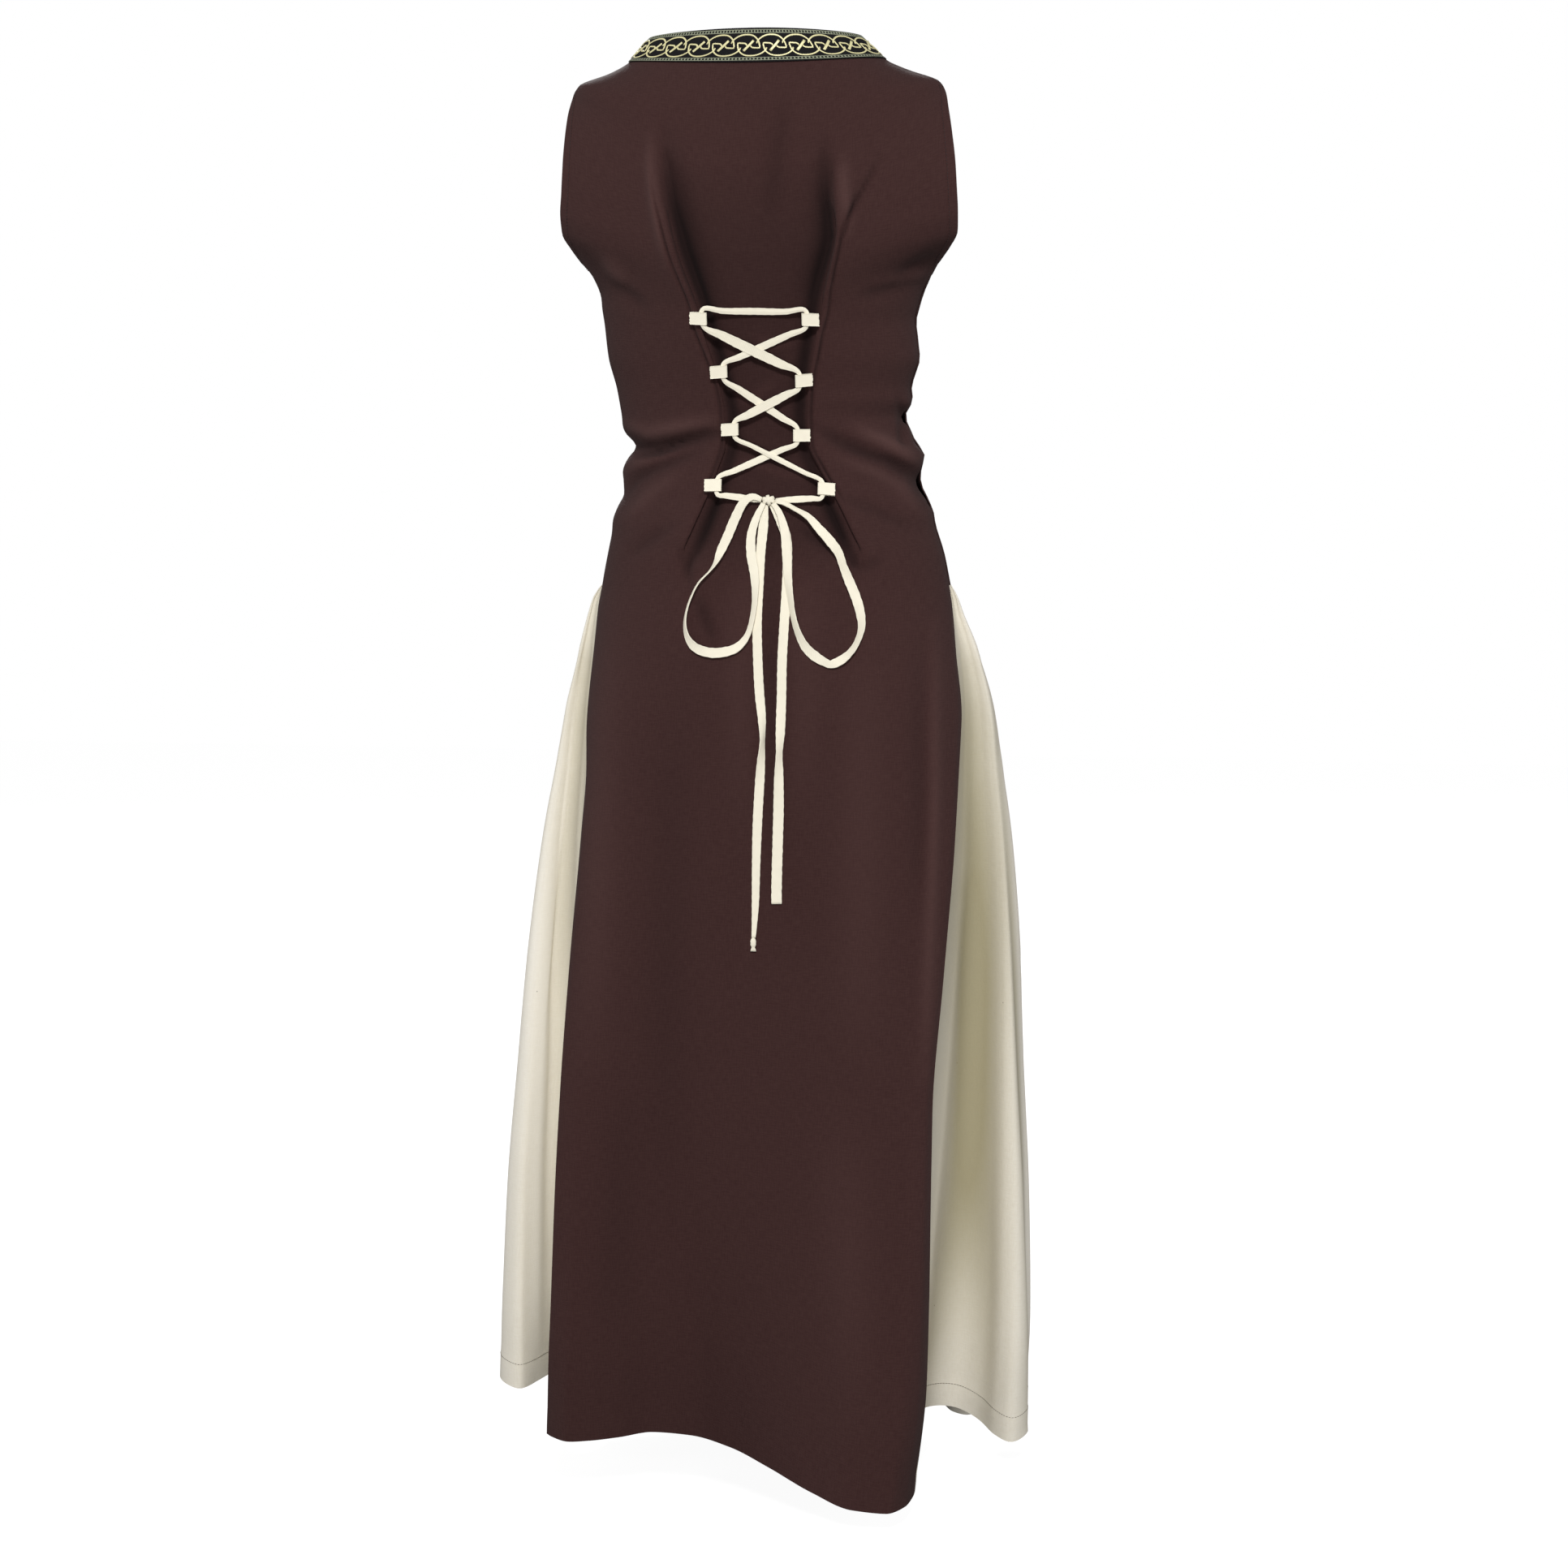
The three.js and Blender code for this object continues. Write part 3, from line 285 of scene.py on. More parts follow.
# Creases of the back by name: height (a trough is below 0), half width, and the line from end to end as x, z
BACK_CREASES = {
    "upper back, middle": (-2.2, 10, ((-31, -57), (-28, -95), (-24, -133), (-20, -171))),
    "beside the left tuck top": (3.6, 6, ((97, -92), (95, -120), (90, -151), (84, -182), (76, -212))),
    "inside the left tuck": (
        -6.5, (3.2, 7), ((83, -110), (80, -134), (76.5, -152), (72, -170), (67.5, -187), (63, -203), (58, -218),
                         (53, -231), (48.5, -243), (43.5, -258), (39, -277), (32, -300), (25, -328), (20.5, -355),
                         (20, -380), (27, -405), (37, -432), (49, -460), (60, -488))),
    "left tuck's inner fall": (
        -5.0, (5, 16), ((84, -96), (79, -118), (75, -140), (70.5, -163), (65, -185), (59.5, -206), (53, -226),
                        (47, -243), (40, -266))),
    "beside the right tuck top": (3.4, 6, ((-88, -114), (-89, -141), (-92, -165), (-93, -185))),
    "inside the right tuck": (
        -6.5, (7, 3.2), ((-71, -112), (-72, -134), (-73, -152), (-76, -170), (-78.5, -187), (-75.5, -203),
                         (-71.5, -218), (-68, -231), (-65, -243), (-62, -258), (-58, -277), (-53.5, -300),
                         (-49, -328), (-48, -355), (-49, -380), (-60, -405), (-75, -432), (-89, -460), (-101, -488))),
    "right tuck's inner fall": (
        -5.0, (14, 5), ((-74, -104), (-75, -126), (-75, -150), (-76, -170), (-76, -187), (-73, -203), (-68, -219),
                        (-62, -236), (-56, -256))),
    "right dart": (
        -4.2, 2.2, ((-121, -112), (-111, -135), (-102, -153), (-94, -168), (-89, -181), (-85, -192))),
    "under the left arm": (2.9, 9, ((147, -205), (135, -218), (120, -230))),
    "under the left arm, lower": (-2.3, 7, ((146, -229), (121, -239), (99, -257))),
    "under the right arm": (-3.5, 6, ((-174, -201), (-154, -213), (-132, -227))),
    "under the right arm, ridge": (2.6, 6, ((-166, -214), (-146, -224), (-121, -232))),
    "under the right arm, lower": (-2.9, 6, ((-155, -226), (-132, -234), (-103, -243))),
    "waist, left upper ridge": (3.5, 7, ((133, -363), (105, -372), (65, -365), (30, -359))),
    "waist, left upper trough": (
        -6.1, 6, ((131, -381), (114, -389), (94, -388), (65, -380), (44, -374), (25, -373))),
    "waist, left ridge between": (3.2, 5, ((129, -402), (105, -400), (78, -392), (51, -383))),
    "waist, left lower trough": (
        -4.3, 6, ((135, -433), (121, -417), (100, -405), (71, -395), (50, -388))),
    "waist, left lower ridge": (2.3, 8, ((129, -455), (103, -431), (69, -411))),
    "hip, left": (-2.3, 7, ((126, -489), (101, -474), (73, -457))),
    "waist, right trough": (
        -5.8, 6, ((-61, -368), (-83, -380), (-103, -388), (-127, -397), (-148, -412), (-161, -438))),
    "waist, right ridge above": (4.3, 7, ((-96, -367), (-119, -378), (-138, -389), (-152, -403))),
    "waist, right ridge below": (2.6, 7, ((-80, -396), (-109, -407), (-138, -423), (-156, -448))),
    "waist, right side fold": (-3.8, 4, ((-135, -339), (-137, -361), (-138, -386))),
    "waist, right side fold ridge": (2.6, 4, ((-140, -342), (-141, -358), (-142, -376))),
    "hip, right": (-2.3, 6, ((-81, -431), (-114, -444), (-154, -463))),
    "left tuck's foot": (-4.5, (2.0, 8), ((30, -418), (35, -432), (46, -460), (58, -488), (63, -500))),
    "right tuck's foot": (-4.5, (8, 2.0), ((-65, -416), (-73, -432), (-87, -460), (-100, -488), (-105, -500))),
    "below the lacing, left": (-2.6, 5, ((69, -481), (60, -499), (54, -517))),
    "below the lacing, left shadow": (-3.5, 6, ((51, -523), (42, -543), (30, -569))),
    "below the lacing, right": (-2.9, 6, ((-48, -460), (-67, -471), (-87, -486))),
    "below the lacing, right low": (-2.3, 6, ((-95, -491), (-110, -498), (-126, -491))),
    "skirt middle": (-3.2, 11, ((-20, -439), (-23, -513), (-26, -620), (-28, -712), (-30, -797))),
    "skirt middle, left rise": (1.2, 16, ((4, -498), (4, -605), (0, -728))),
    "skirt middle, right rise": (1.2, 16, ((-53, -498), (-58, -604), (-56, -727))),
    "tucked cloth": (-2.0, 5, ((9, -293), (-4, -304), (-26, -307))),
    "tucked cloth, ridge": (1.7, 5, ((-1, -280), (-20, -290), (-47, -288))),
    "tucked cloth, middle": (2.0, 6, ((16, -345), (-4, -339), (-27, -322))),
    "tucked cloth, low": (-2.3, 6, ((17, -376), (1, -388), (-26, -396), (-45, -393))),
    "tucked cloth, low ridge": (2.3, 6, ((20, -403), (1, -399), (-31, -410), (-57, -414))),
    "skirt, left fall": (1.8, 22, ((142, -548), (144, -656), (145, -811), (149, -967))),
    "skirt, left quarter": (-1.6, 24, ((69, -591), (71, -729), (74, -917), (77, -1125))),
    "skirt, right quarter": (1.6, 24, ((-110, -574), (-111, -726), (-113, -957))),
    "skirt, right edge ridge": (
        3.2, 7, ((-173, -554), (-176, -622), (-178, -713), (-177, -804), (-175, -896), (-174, -980))),
    "skirt, right edge fall": (-2.0, 9, ((-163, -576), (-166, -697), (-165, -819))),
    "skirt, low left": (-1.4, 20, ((115, -989), (122, -1125), (129, -1247))),
    "skirt, low right": (1.2, 26, ((-99, -1019), (-106, -1158), (-113, -1296))),
}

# Folds of the gores between their hem folds
GORE_CREASES = {
    1: {
        "crisp fold": (-7.0, (2.0, 30), ((178, -530), (183, -577), (193, -651), (200, -716), (215, -832), (228, -949),
                                         (237, -1066), (245, -1184), (251, -1290), (254, -1370))),
        "bright strip": (2.6, 9, ((190, -560), (213, -699), (231, -814), (246, -946), (256, -1066), (264, -1184),
                                  (268, -1300))),
    },
    -1: {
        "crisp fold": (-8.5, (44, 3.2), ((-196, -540), (-203, -580), (-211, -628), (-222, -712), (-230, -794),
                                         (-234, -887), (-235, -969), (-235, -1068), (-231, -1169), (-228, -1254),
                                         (-226, -1310))),
        "inner shade": (-2.5, 16, ((-206, -824), (-208, -997), (-204, -1140), (-200, -1250))),
        "bright strip": (2.4, 8, ((-222, -640), (-236, -740), (-244, -860), (-248, -1000), (-248, -1140),
                                  (-246, -1260))),
    },
}

# Folds of the gores as they are seen from the side: the line is y, z
GORE_SIDE_CREASES = {
    1: {
        "front fall": (-5.0, 13, ((-14, -600), (-34, -800), (-58, -1050), (-84, -1360))),
        "front rise": (4.0, 15, ((-6, -640), (-10, -860), (-22, -1100), (-40, -1380))),
        "front edge fall": (-3.5, 12, ((-60, -820), (-96, -1060), (-124, -1380))),
    },
    -1: {
        "front fall": (-5.5, 14, ((-16, -600), (-30, -820), (-46, -1080), (-66, -1370))),
        "front rise": (4.0, 15, ((-36, -700), (-66, -900), (-92, -1140), (-108, -1380))),
        "front edge fall": (-3.0, 11, ((-70, -900), (-104, -1120), (-128, -1370))),
    },
}

# Creases of the front, placed like those of the back: the front does not show in the photograph
FRONT_CREASES = {
    "bust, left": (-2.0, 9, ((172, -205), (140, -222), (104, -232))),
    "bust, right": (-2.0, 9, ((-172, -203), (-142, -224), (-108, -236))),
    "below the bust, left": (1.6, 12, ((120, -262), (96, -300), (84, -342))),
    "below the bust, right": (1.6, 12, ((-112, -268), (-92, -304), (-80, -340))),
    "waist, left trough": (-3.6, 7, ((131, -384), (108, -391), (80, -386), (48, -378))),
    "waist, left ridge": (2.2, 6, ((134, -404), (108, -405), (76, -397), (52, -391))),
    "waist, left lower": (-2.4, 7, ((139, -430), (116, -419), (88, -409))),
    "waist, right trough": (-3.6, 7, ((-150, -408), (-128, -397), (-98, -388), (-66, -380))),
    "waist, right ridge": (2.4, 7, ((-146, -386), (-120, -378), (-92, -370))),
    "waist, right lower": (-2.0, 7, ((-158, -440), (-130, -426), (-96, -414))),
    "waist, middle": (-1.4, 10, ((-22, -372), (6, -380), (36, -376))),
    "skirt, middle": (-2.6, 14, ((4, -470), (6, -600), (8, -760), (6, -940))),
    "skirt, left": (2.2, 20, ((74, -520), (82, -700), (90, -940), (96, -1200))),
    "skirt, right": (2.2, 20, ((-70, -540), (-76, -720), (-82, -960), (-84, -1220))),
    "skirt, left fall": (-2.0, 20, ((122, -580), (130, -780), (138, -1020))),
    "skirt, right fall": (-2.0, 18, ((-128, -600), (-136, -800), (-138, -1040))),
}


# ---- curves and surfaces, in millimetres ----


def mix(start, end, share):
    return start + (end - start) * share


def smoothstep(value, low, high):
    share = np.clip((value - low) / (high - low), 0, 1)
    return share * share * (3 - 2 * share)


def monotone(knots, values, at):
    """A smooth line through values at knots that never swings past them."""
    knots, values, at = (np.asarray(part, float) for part in (knots, values, at))
    width = np.diff(knots)
    rise = np.diff(values) / width
    slope = np.zeros(len(values))
    slope[0], slope[-1] = rise[0], rise[-1]
    same = rise[:-1] * rise[1:] > 0
    early, late = (2 * width[1:] + width[:-1])[same], (width[1:] + 2 * width[:-1])[same]
    slope[1:-1][same] = (early + late) / (early / rise[:-1][same] + late / rise[1:][same])
    index = np.clip(np.searchsorted(knots, at, side="right") - 1, 0, len(knots) - 2)
    t, w = (at - knots[index]) / width[index], width[index]
    t = np.clip(t, 0, 1)
    return (
        values[index] * (1 + 2 * t) * (1 - t) ** 2
        + slope[index] * w * t * (1 - t) ** 2
        + values[index + 1] * t * t * (3 - 2 * t)
        + slope[index + 1] * w * t * t * (t - 1)
    )


def smooth_path(points, count, closed=False):
    """A curve through the points, cut into equal lengths."""
    points = np.asarray(points, float)
    if closed:
        padded = np.vstack([points[-1:], points, points[:2]])
    else:
        padded = np.vstack([2 * points[0] - points[1], points, 2 * points[-1] - points[-2]])
    knots = np.concatenate([[0], np.cumsum(np.linalg.norm(np.diff(padded[:, :3], axis=0), axis=1) ** 0.5)])
    fine = []
    for i in range(len(padded) - 3):
        t0, t1, t2, t3 = knots[i : i + 4]
        t = np.linspace(t1, t2, 24, endpoint=False)[:, None]
        p0, p1, p2, p3 = padded[i : i + 4]
        a1 = (t1 - t) / (t1 - t0) * p0 + (t - t0) / (t1 - t0) * p1
        a2 = (t2 - t) / (t2 - t1) * p1 + (t - t1) / (t2 - t1) * p2
        a3 = (t3 - t) / (t3 - t2) * p2 + (t - t2) / (t3 - t2) * p3
        b1 = (t2 - t) / (t2 - t0) * a1 + (t - t0) / (t2 - t0) * a2
        b2 = (t3 - t) / (t3 - t1) * a2 + (t - t1) / (t3 - t1) * a3
        fine.append((t2 - t) / (t2 - t1) * b1 + (t - t1) / (t2 - t1) * b2)
    fine.append(padded[-2][None])
    fine = np.vstack(fine)
    return resample(fine, count)


def resample(line, count):
    """The same line with its points at equal distances."""
    run = np.concatenate([[0], np.cumsum(np.linalg.norm(np.diff(line[:, :3], axis=0), axis=1))])
    at = np.linspace(0, run[-1], count)
    return np.stack([np.interp(at, run, line[:, axis]) for axis in range(line.shape[1])], -1)


def length_of(line):
    return float(np.linalg.norm(np.diff(np.asarray(line)[:, :3], axis=0), axis=1).sum())


def unit(vectors):
    return vectors / np.maximum(np.linalg.norm(vectors, axis=-1, keepdims=True), 1e-12)


def level(name, position):
    return monotone(np.arange(len(LEVELS)), LEVELS[:, LEVEL_COLUMNS.index(name)], position)


def reach(side, position):
    """How far the side edge lies from the middle plane, with the small folds of its outline."""
    value = level("left" if side > 0 else "right", position)
    height = level("side", position)
    for fold_side, at, half, out in SIDE_FOLDS:
        if fold_side == side:
            value = value + out * np.exp(-(((height - at) / half) ** 2))
    return value


def position_of(height):
    """Level position of a height on the back's middle line."""
    fine = np.linspace(0, HEM, 3401)
    return np.interp(-np.asarray(height, float), -level("backMid", fine), fine)


def section_depth(share, turn, square):
    """Depth left of a section at a share of its width: 1 in the middle, 0 at the edge."""
    rim = np.sin(np.radians(turn))

    def depth(place):
        return np.maximum(0, 1 - np.abs(place) ** square) ** (1 / square)

    return (depth(share * rim) - depth(rim)) / (1 - depth(rim))


def hem_at(hem, share):
    """Point of a hem table at a share of the panel's width."""
    x = np.where(share > 0, share * hem[0, 0], -share * hem[-1, 0])
    return np.stack([x, monotone(-hem[:, 0], hem[:, 1], -x), monotone(-hem[:, 0], hem[:, 2], -x)], -1)


def hem_fall(position):
    return np.maximum(0, (position - HEM_FALL_FROM) / (HEM - HEM_FALL_FROM)) ** HEM_FALL_POWER


def back_plain(share, position):
    side = np.where(share > 0, reach(1, position), reach(-1, position))
    depth = section_depth(share, level("turn", position), level("square", position))
    y = mix(level("backEdge", position), level("back", position), depth)
    return np.stack([share * side, y, mix(level("backMid", position), level("side", position), share**2)], -1)


def front_plain(share, position):
    side = np.where(share > 0, reach(1, position), reach(-1, position)) - level("frontIn", position)
    depth = section_depth(share, level("frontTurn", position), level("square", position))
    y = mix(level("frontEdge", position), level("front", position), depth)
    return np.stack([share * side, -y, mix(level("frontMid", position), level("side", position), share**2)], -1)


def panel_point(plain, hem, share, position):
    """A panel's middle surface, which leaves its plain sections towards the hem."""
    share, position = np.broadcast_arrays(np.asarray(share, float), np.asarray(position, float))
    fall = hem_at(hem, share) - plain(share, np.full_like(position, HEM))
    return plain(share, position) + fall * hem_fall(position)[..., None]


def panel_normal(plain, hem, share, position):
    """Outward direction of a panel's middle surface."""
    step, part = 0.004, 0.02
    across = panel_point(plain, hem, share + step, position) - panel_point(plain, hem, share - step, position)
    low, high = np.clip(position - part, 0, HEM), np.clip(position + part, 0, HEM)
    down = panel_point(plain, hem, share, high) - panel_point(plain, hem, share, low)
    sign = 1 if plain is back_plain else -1
    return sign * unit(np.cross(across, down))


def back_share(x, position):
    x, position = np.broadcast_arrays(np.asarray(x, float), np.asarray(position, float))
    return np.clip(x / np.where(x > 0, reach(1, position), reach(-1, position)), -0.9999, 0.9999)


def back_surface(x, position):
    """Point and outward direction of the back's middle surface at x, without tucks and creases."""
    share = back_share(x, position)
    return (
        panel_point(back_plain, BACK_HEM, share, position),
        panel_normal(back_plain, BACK_HEM, share, position),
    )


def crease_height(creases, x, z):
    """Height that the creases add at places of a panel. Each fades at both ends of its line.

    Two half widths are a steep and a soft side: towards +x and towards -x of a line that runs down.
    """
    total = np.zeros_like(x)
    for height, halves, line in creases.values():
        line = np.array(line, float)
        plus, minus = halves if isinstance(halves, tuple) else (halves, halves)
        half = max(plus, minus)
        spans = np.linalg.norm(np.diff(line, axis=0), axis=1)
        run = np.concatenate([[0], np.cumsum(spans)])
        nearest = np.full(x.shape, 1e9)
        along = np.zeros(x.shape)
        low, high = line.min(0) - 3.2 * half, line.max(0) + 3.2 * half
        close = (x > low[0]) & (x < high[0]) & (z > low[1]) & (z < high[1])
        px, pz = x[close], z[close]
        best, where, side = nearest[close], along[close], np.ones(close.sum())
        for k, span in enumerate(spans):
            dx, dz = (line[k + 1] - line[k]) / span
            t = np.clip((px - line[k, 0]) * dx + (pz - line[k, 1]) * dz, 0, span)
            gap_x, gap_z = px - line[k, 0] - t * dx, pz - line[k, 1] - t * dz
            distance = np.hypot(gap_x, gap_z)
            closer = distance < best
            best, where = np.where(closer, distance, best), np.where(closer, run[k] + t, where)
            side = np.where(closer, dx * gap_z - dz * gap_x, side)
        fade = np.sin(np.pi * np.clip(where / run[-1], 0.03, 0.97)) ** 0.6
        total[close] += height * fade * np.exp(-((best / np.where(side > 0, plus, minus)) ** 2))
    return total


def row_positions(first, last, spacing):
    """Level positions from first to last, spacing(height) mm apart."""
    fine = np.linspace(first, last, 6001)
    height = (level("side", fine) + level("backMid", fine)) / 2
    count = np.concatenate([[0], np.cumsum(np.abs(np.diff(height)) / spacing(height[1:]))])
    rows = int(round(count[-1])) + 1
    return np.interp(np.linspace(0, count[-1], rows), count, fine)


def edge_shares(count, power=1.6):
    """Shares from 1 at an edge inwards to 0, closer together near the edge."""
    return 1 - (1 - np.linspace(1, 0, count)) ** power


# ---- the two panels ----

SIDE_COLUMNS = 40
FOLD_COLUMNS = 36
MIDDLE_COLUMNS = 26
FRONT_COLUMNS = 61
SEAM_DIP = 0.9
SEAM_DIP_HALF = 2.2
SEAM_UNDER = 2.2
SEAM_UNDER_HALF = 4.0
SEAM_SINK = 1.1
ARMHOLE_FOOT = 12.6


def seam_dip(gap):
    """Cloth drawn in along a seam, at a distance from it."""
    return -SEAM_DIP * np.exp(-((gap / SEAM_DIP_HALF) ** 2))


def back_columns(position):
    """Place and height of each column of the back, from the right seam to the left one, and its stitched seams."""
    pinch = level("pinch", position)[:, None]
    folded = smoothstep(pinch, TUCK_FOLD_START, 1)
    flat, across, height = smooth_path(
        np.column_stack([TUCK_FOLD[:, 1], TUCK_FOLD[:, 2], TUCK_FOLD[:, 0]]), FOLD_COLUMNS
    )[:, [2, 0, 1]].T
    z = level("backMid", position)
    sides = []
    for side, name, strip in ((-1, "tuckRight", STRIP_RIGHT), (1, "tuckLeft", STRIP_LEFT)):
        tuck = level(name, position)[:, None]
        fold_x = tuck + mix(flat, across, folded)
        fold_h = height * pinch * (1 + TUCK_TOP_RISE * smoothstep(z, -262, -225)[:, None] * (height > 0))
        far = reach(side, position)[:, None]
        plain_x = mix(fold_x[:, :1], far, edge_shares(SIDE_COLUMNS)[:-1])
        plain_h = fold_h[:, :1] * np.clip(1 - (plain_x - fold_x[:, :1]) / TUCK_SPREAD, 0, 1) ** 2
        x, h = np.hstack([plain_x, fold_x]), np.hstack([plain_h, fold_h])
        width = np.interp(-z, [-v for v in STRIP_HEIGHTS], strip)[:, None]
        outer = np.arange(x.shape[1]) < SIDE_COLUMNS + FOLD_COLUMNS * 0.55
        seam = np.exp(-(((x - tuck - width) / 1.5) ** 2)) * outer
        seam = seam * (smoothstep(-z, 130, 190) * smoothstep(z, -445, -415))[:, None]
        sides.append((side * x, h - 2.2 * seam, seam))
    (right_x, right_h, right_seam), (left_x, left_h, left_seam) = sides
    share = np.linspace(0, 1, MIDDLE_COLUMNS + 2)[1:-1]
    middle_x = mix(right_x[:, -1:], left_x[:, -1:], share)
    middle_h = mix(right_h[:, -1:], left_h[:, -1:], share)
    return [np.hstack([right, middle, left[:, ::-1]]) for right, middle, left in (
        (right_x, middle_x, left_x), (right_h, middle_h, left_h), (right_seam, 0 * middle_x, left_seam))]


def back_grid(position):
    x, height, seam = back_columns(position)
    rows = position[:, None] + 0 * x
    point, normal = back_surface(x, rows)
    creases = crease_height(BACK_CREASES, point[..., 0], point[..., 2])
    # Colour's relief: painted shade in the creases, in the recess between the tucks and along the seam grooves,
    # painted highlight on raised creases
    relief = creases + np.minimum(height, 0) - 5 * seam
    height = height + creases
    side_gap = np.minimum(np.abs(x - x[:, :1]), np.abs(x - x[:, -1:]))
    height = height + seam_dip(side_gap) * (rows > 12)
    made = point + normal * height[..., None]
    below_armhole = smoothstep(position, ARMHOLE_FOOT, ARMHOLE_FOOT + 0.6)[:, None, None]
    for edge, inner in ((0, 1), (-1, -2)):
        run = unit(made[:, edge] - made[:, inner])[:, None]
        near = np.exp(-((np.linalg.norm(made - made[:, [edge]], axis=-1) / SEAM_UNDER_HALF) ** 2))[..., None]
        made = made + below_armhole * near * (SEAM_UNDER * run - SEAM_SINK * normal[:, [edge]])
    return made, relief


def front_grid(position):
    half = edge_shares(FRONT_COLUMNS, 1.35)
    share = np.concatenate([half, -half[:-1][::-1]])[None, :] + 0 * position[:, None]
    rows = position[:, None] + 0 * share
    point = panel_point(front_plain, FRONT_HEM, share, rows)
    normal = panel_normal(front_plain, FRONT_HEM, np.clip(share, -0.9999, 0.9999), rows)
    # The creases' heights shape the front and also paint shade in its troughs and highlight on its ridges
    relief = crease_height(FRONT_CREASES, point[..., 0], point[..., 2])
    side_gap = (1 - np.abs(share)) * 150
    height = relief + seam_dip(side_gap) * (rows > 12)
    return point + normal * height[..., None], relief


# ---- the gores ----

GORE_COLUMNS = 150
GORE_TUCK_UNDER = 2.0
GORE_SINK = 1.2
GORE_SOFTNESS = 9.0
# How much more than its height a crease of a gore paints shade in troughs and highlight on ridges of the pale cloth
GORE_TONE = 1.2


def grid_normals(grid):
    """Directions away from a grid of points, towards the viewer when its columns run to the left."""
    return unit(np.cross(np.gradient(grid, axis=1), np.gradient(grid, axis=0)))


def gore_grid(position, outward):
    """A gore between the panels' edges, from the back seam to the front seam."""
    hem = LEFT_GORE_HEM if outward > 0 else RIGHT_GORE_HEM
    ends = []
    for plain, panel_hem in ((back_plain, BACK_HEM), (front_plain, FRONT_HEM)):
        edge = panel_point(plain, panel_hem, outward * 0.9999, position)
        before = panel_point(plain, panel_hem, outward * 0.985, position)
        normal = panel_normal(plain, panel_hem, outward * 0.995, position)
        ends.append((edge, unit(edge - before), normal))
    (start, start_run, start_out), (end, end_run, end_out) = ends
    share = np.linspace(0, 1, GORE_COLUMNS)
    swell = np.maximum(0, level("goreLeft" if outward > 0 else "goreRight", position)
                       - np.abs(start[:, 0] + end[:, 0]) / 2)
    swell = swell * np.clip((position - GORE_TOP) / 0.6, 0, 1) ** 0.6
    points = start[:, None] + (end - start)[:, None] * share[None, :, None]
    points[..., 0] += outward * swell[:, None] * np.sin(np.pi * share) ** GORE_BULGE_POWER
    hem_line = smooth_path(np.vstack([start[-1:], hem, end[-1:]]), GORE_COLUMNS)
    fold = hem_line - points[-1]
    top, bottom = level("side", GORE_TOP), level("side", HEM)
    grown = ((level("side", position) - top) / (bottom - top))[:, None]
    places = np.arange(GORE_COLUMNS)
    spread = np.exp(-(((places[:, None] - places) / GORE_SOFTNESS) ** 2))
    soft = (spread / spread.sum(1, keepdims=True)) @ fold
    soft *= np.minimum(1, 6 * np.minimum(share, 1 - share))[:, None]
    in_front = smoothstep(share, 0.4, 0.52) * (1 - grown**2)
    for axis in (0, 1):
        points[..., axis] += mix(fold[:, axis], soft[:, axis], in_front) * grown**GORE_FOLD_POWER
    points[..., 2] += fold[:, 2] * grown**GORE_HEM_POWER
    for run, out, index in ((start_run, start_out, share), (end_run, end_out, 1 - share)):
        near = np.exp(-((index * (GORE_COLUMNS - 1) / 3.0) ** 2))[None, :, None]
        points += near * (-GORE_TUCK_UNDER * run - GORE_SINK * out)[:, None]
    normal = outward * grid_normals(points)
    relief = crease_height(GORE_CREASES[outward], points[..., 0], points[..., 2])
    relief = relief * (1 - smoothstep(share, 0.34, 0.5))
    relief = relief + crease_height(GORE_SIDE_CREASES[outward], points[..., 1], points[..., 2])
    # The second value paints shade in the gore's creases and highlight on its ridges, GORE_TONE times their height
    return points + normal * relief[..., None], GORE_TONE * relief


# ---- the braid's ring round the neck ----

BRAID_ROWS = 7
BRAID_OUT = 1.3
BRAID_HALF_COLUMNS = 180


def braid_ring(lift):
    """Points of the braid's ring, lift mm above the panels: rows from its upper edge, columns from the left
    shoulder seam over the back to the right one and back over the front."""
    position = np.linspace(0, 1, BRAID_ROWS)[:, None]
    angle = np.linspace(0, np.pi, BRAID_HALF_COLUMNS, endpoint=False)
    share = np.clip(np.cos(angle), -0.9999, 0.9999)[None, :]
    halves = []
    for plain, hem, way in ((back_plain, BACK_HEM, 1), (front_plain, FRONT_HEM, -1)):
        row, place = np.broadcast_arrays(position, way * share)
        halves.append((panel_point(plain, hem, place, row), panel_normal(plain, hem, place, row)))
    points = np.hstack([halves[0][0], halves[1][0]])
    normals = np.hstack([halves[0][1], halves[1][1]])
    for _ in range(6):
        normals = unit(normals + np.roll(normals, 1, axis=1) + np.roll(normals, -1, axis=1))
    return points + normals * lift, normals


# ---- the lace: where its loops, crossings, bow and tails lie, as in its solids ----

LOOP_LENGTH = 16.4
LOOP_HEIGHT = 11.6
LOOP_MOUTH = 1.8
LOOP_WALL = 1.0
LOOP_CLEAR = 0.5
LOOP_LACE_OFFSET = 4.4
LOOP_LEAN = 0.5
LACE_NARROW = 4.2
LACE_BAR = 6.6
LACE_WIDE = 9.4
LACE_SHARES = (0.2, 0.5, 0.8)
LACE_OVER = 1.0
LACE_UNDER = -0.7
BAR_SAG = 1.5

# name: centre x, centre z, side to which the loop points, turns of the lace beyond its head and its foot
LACE_LOOPS = {
    "l1": (46, -263, -1, 3, 1.4), "l2": (28, -312, -1, 1.4, 1.4), "l3": (18.5, -367, -1, 1.4, 1.4),
    "l4": (34, -422, -1, 1.4, 3), "r1": (-56, -265, 1, 3, 1.4), "r2": (-49.5, -320, 1, 1.4, 1.4),
    "r3": (-47, -373, 1, 1.4, 1.4), "r4": (-70, -426, 1, 1.4, 3),
}
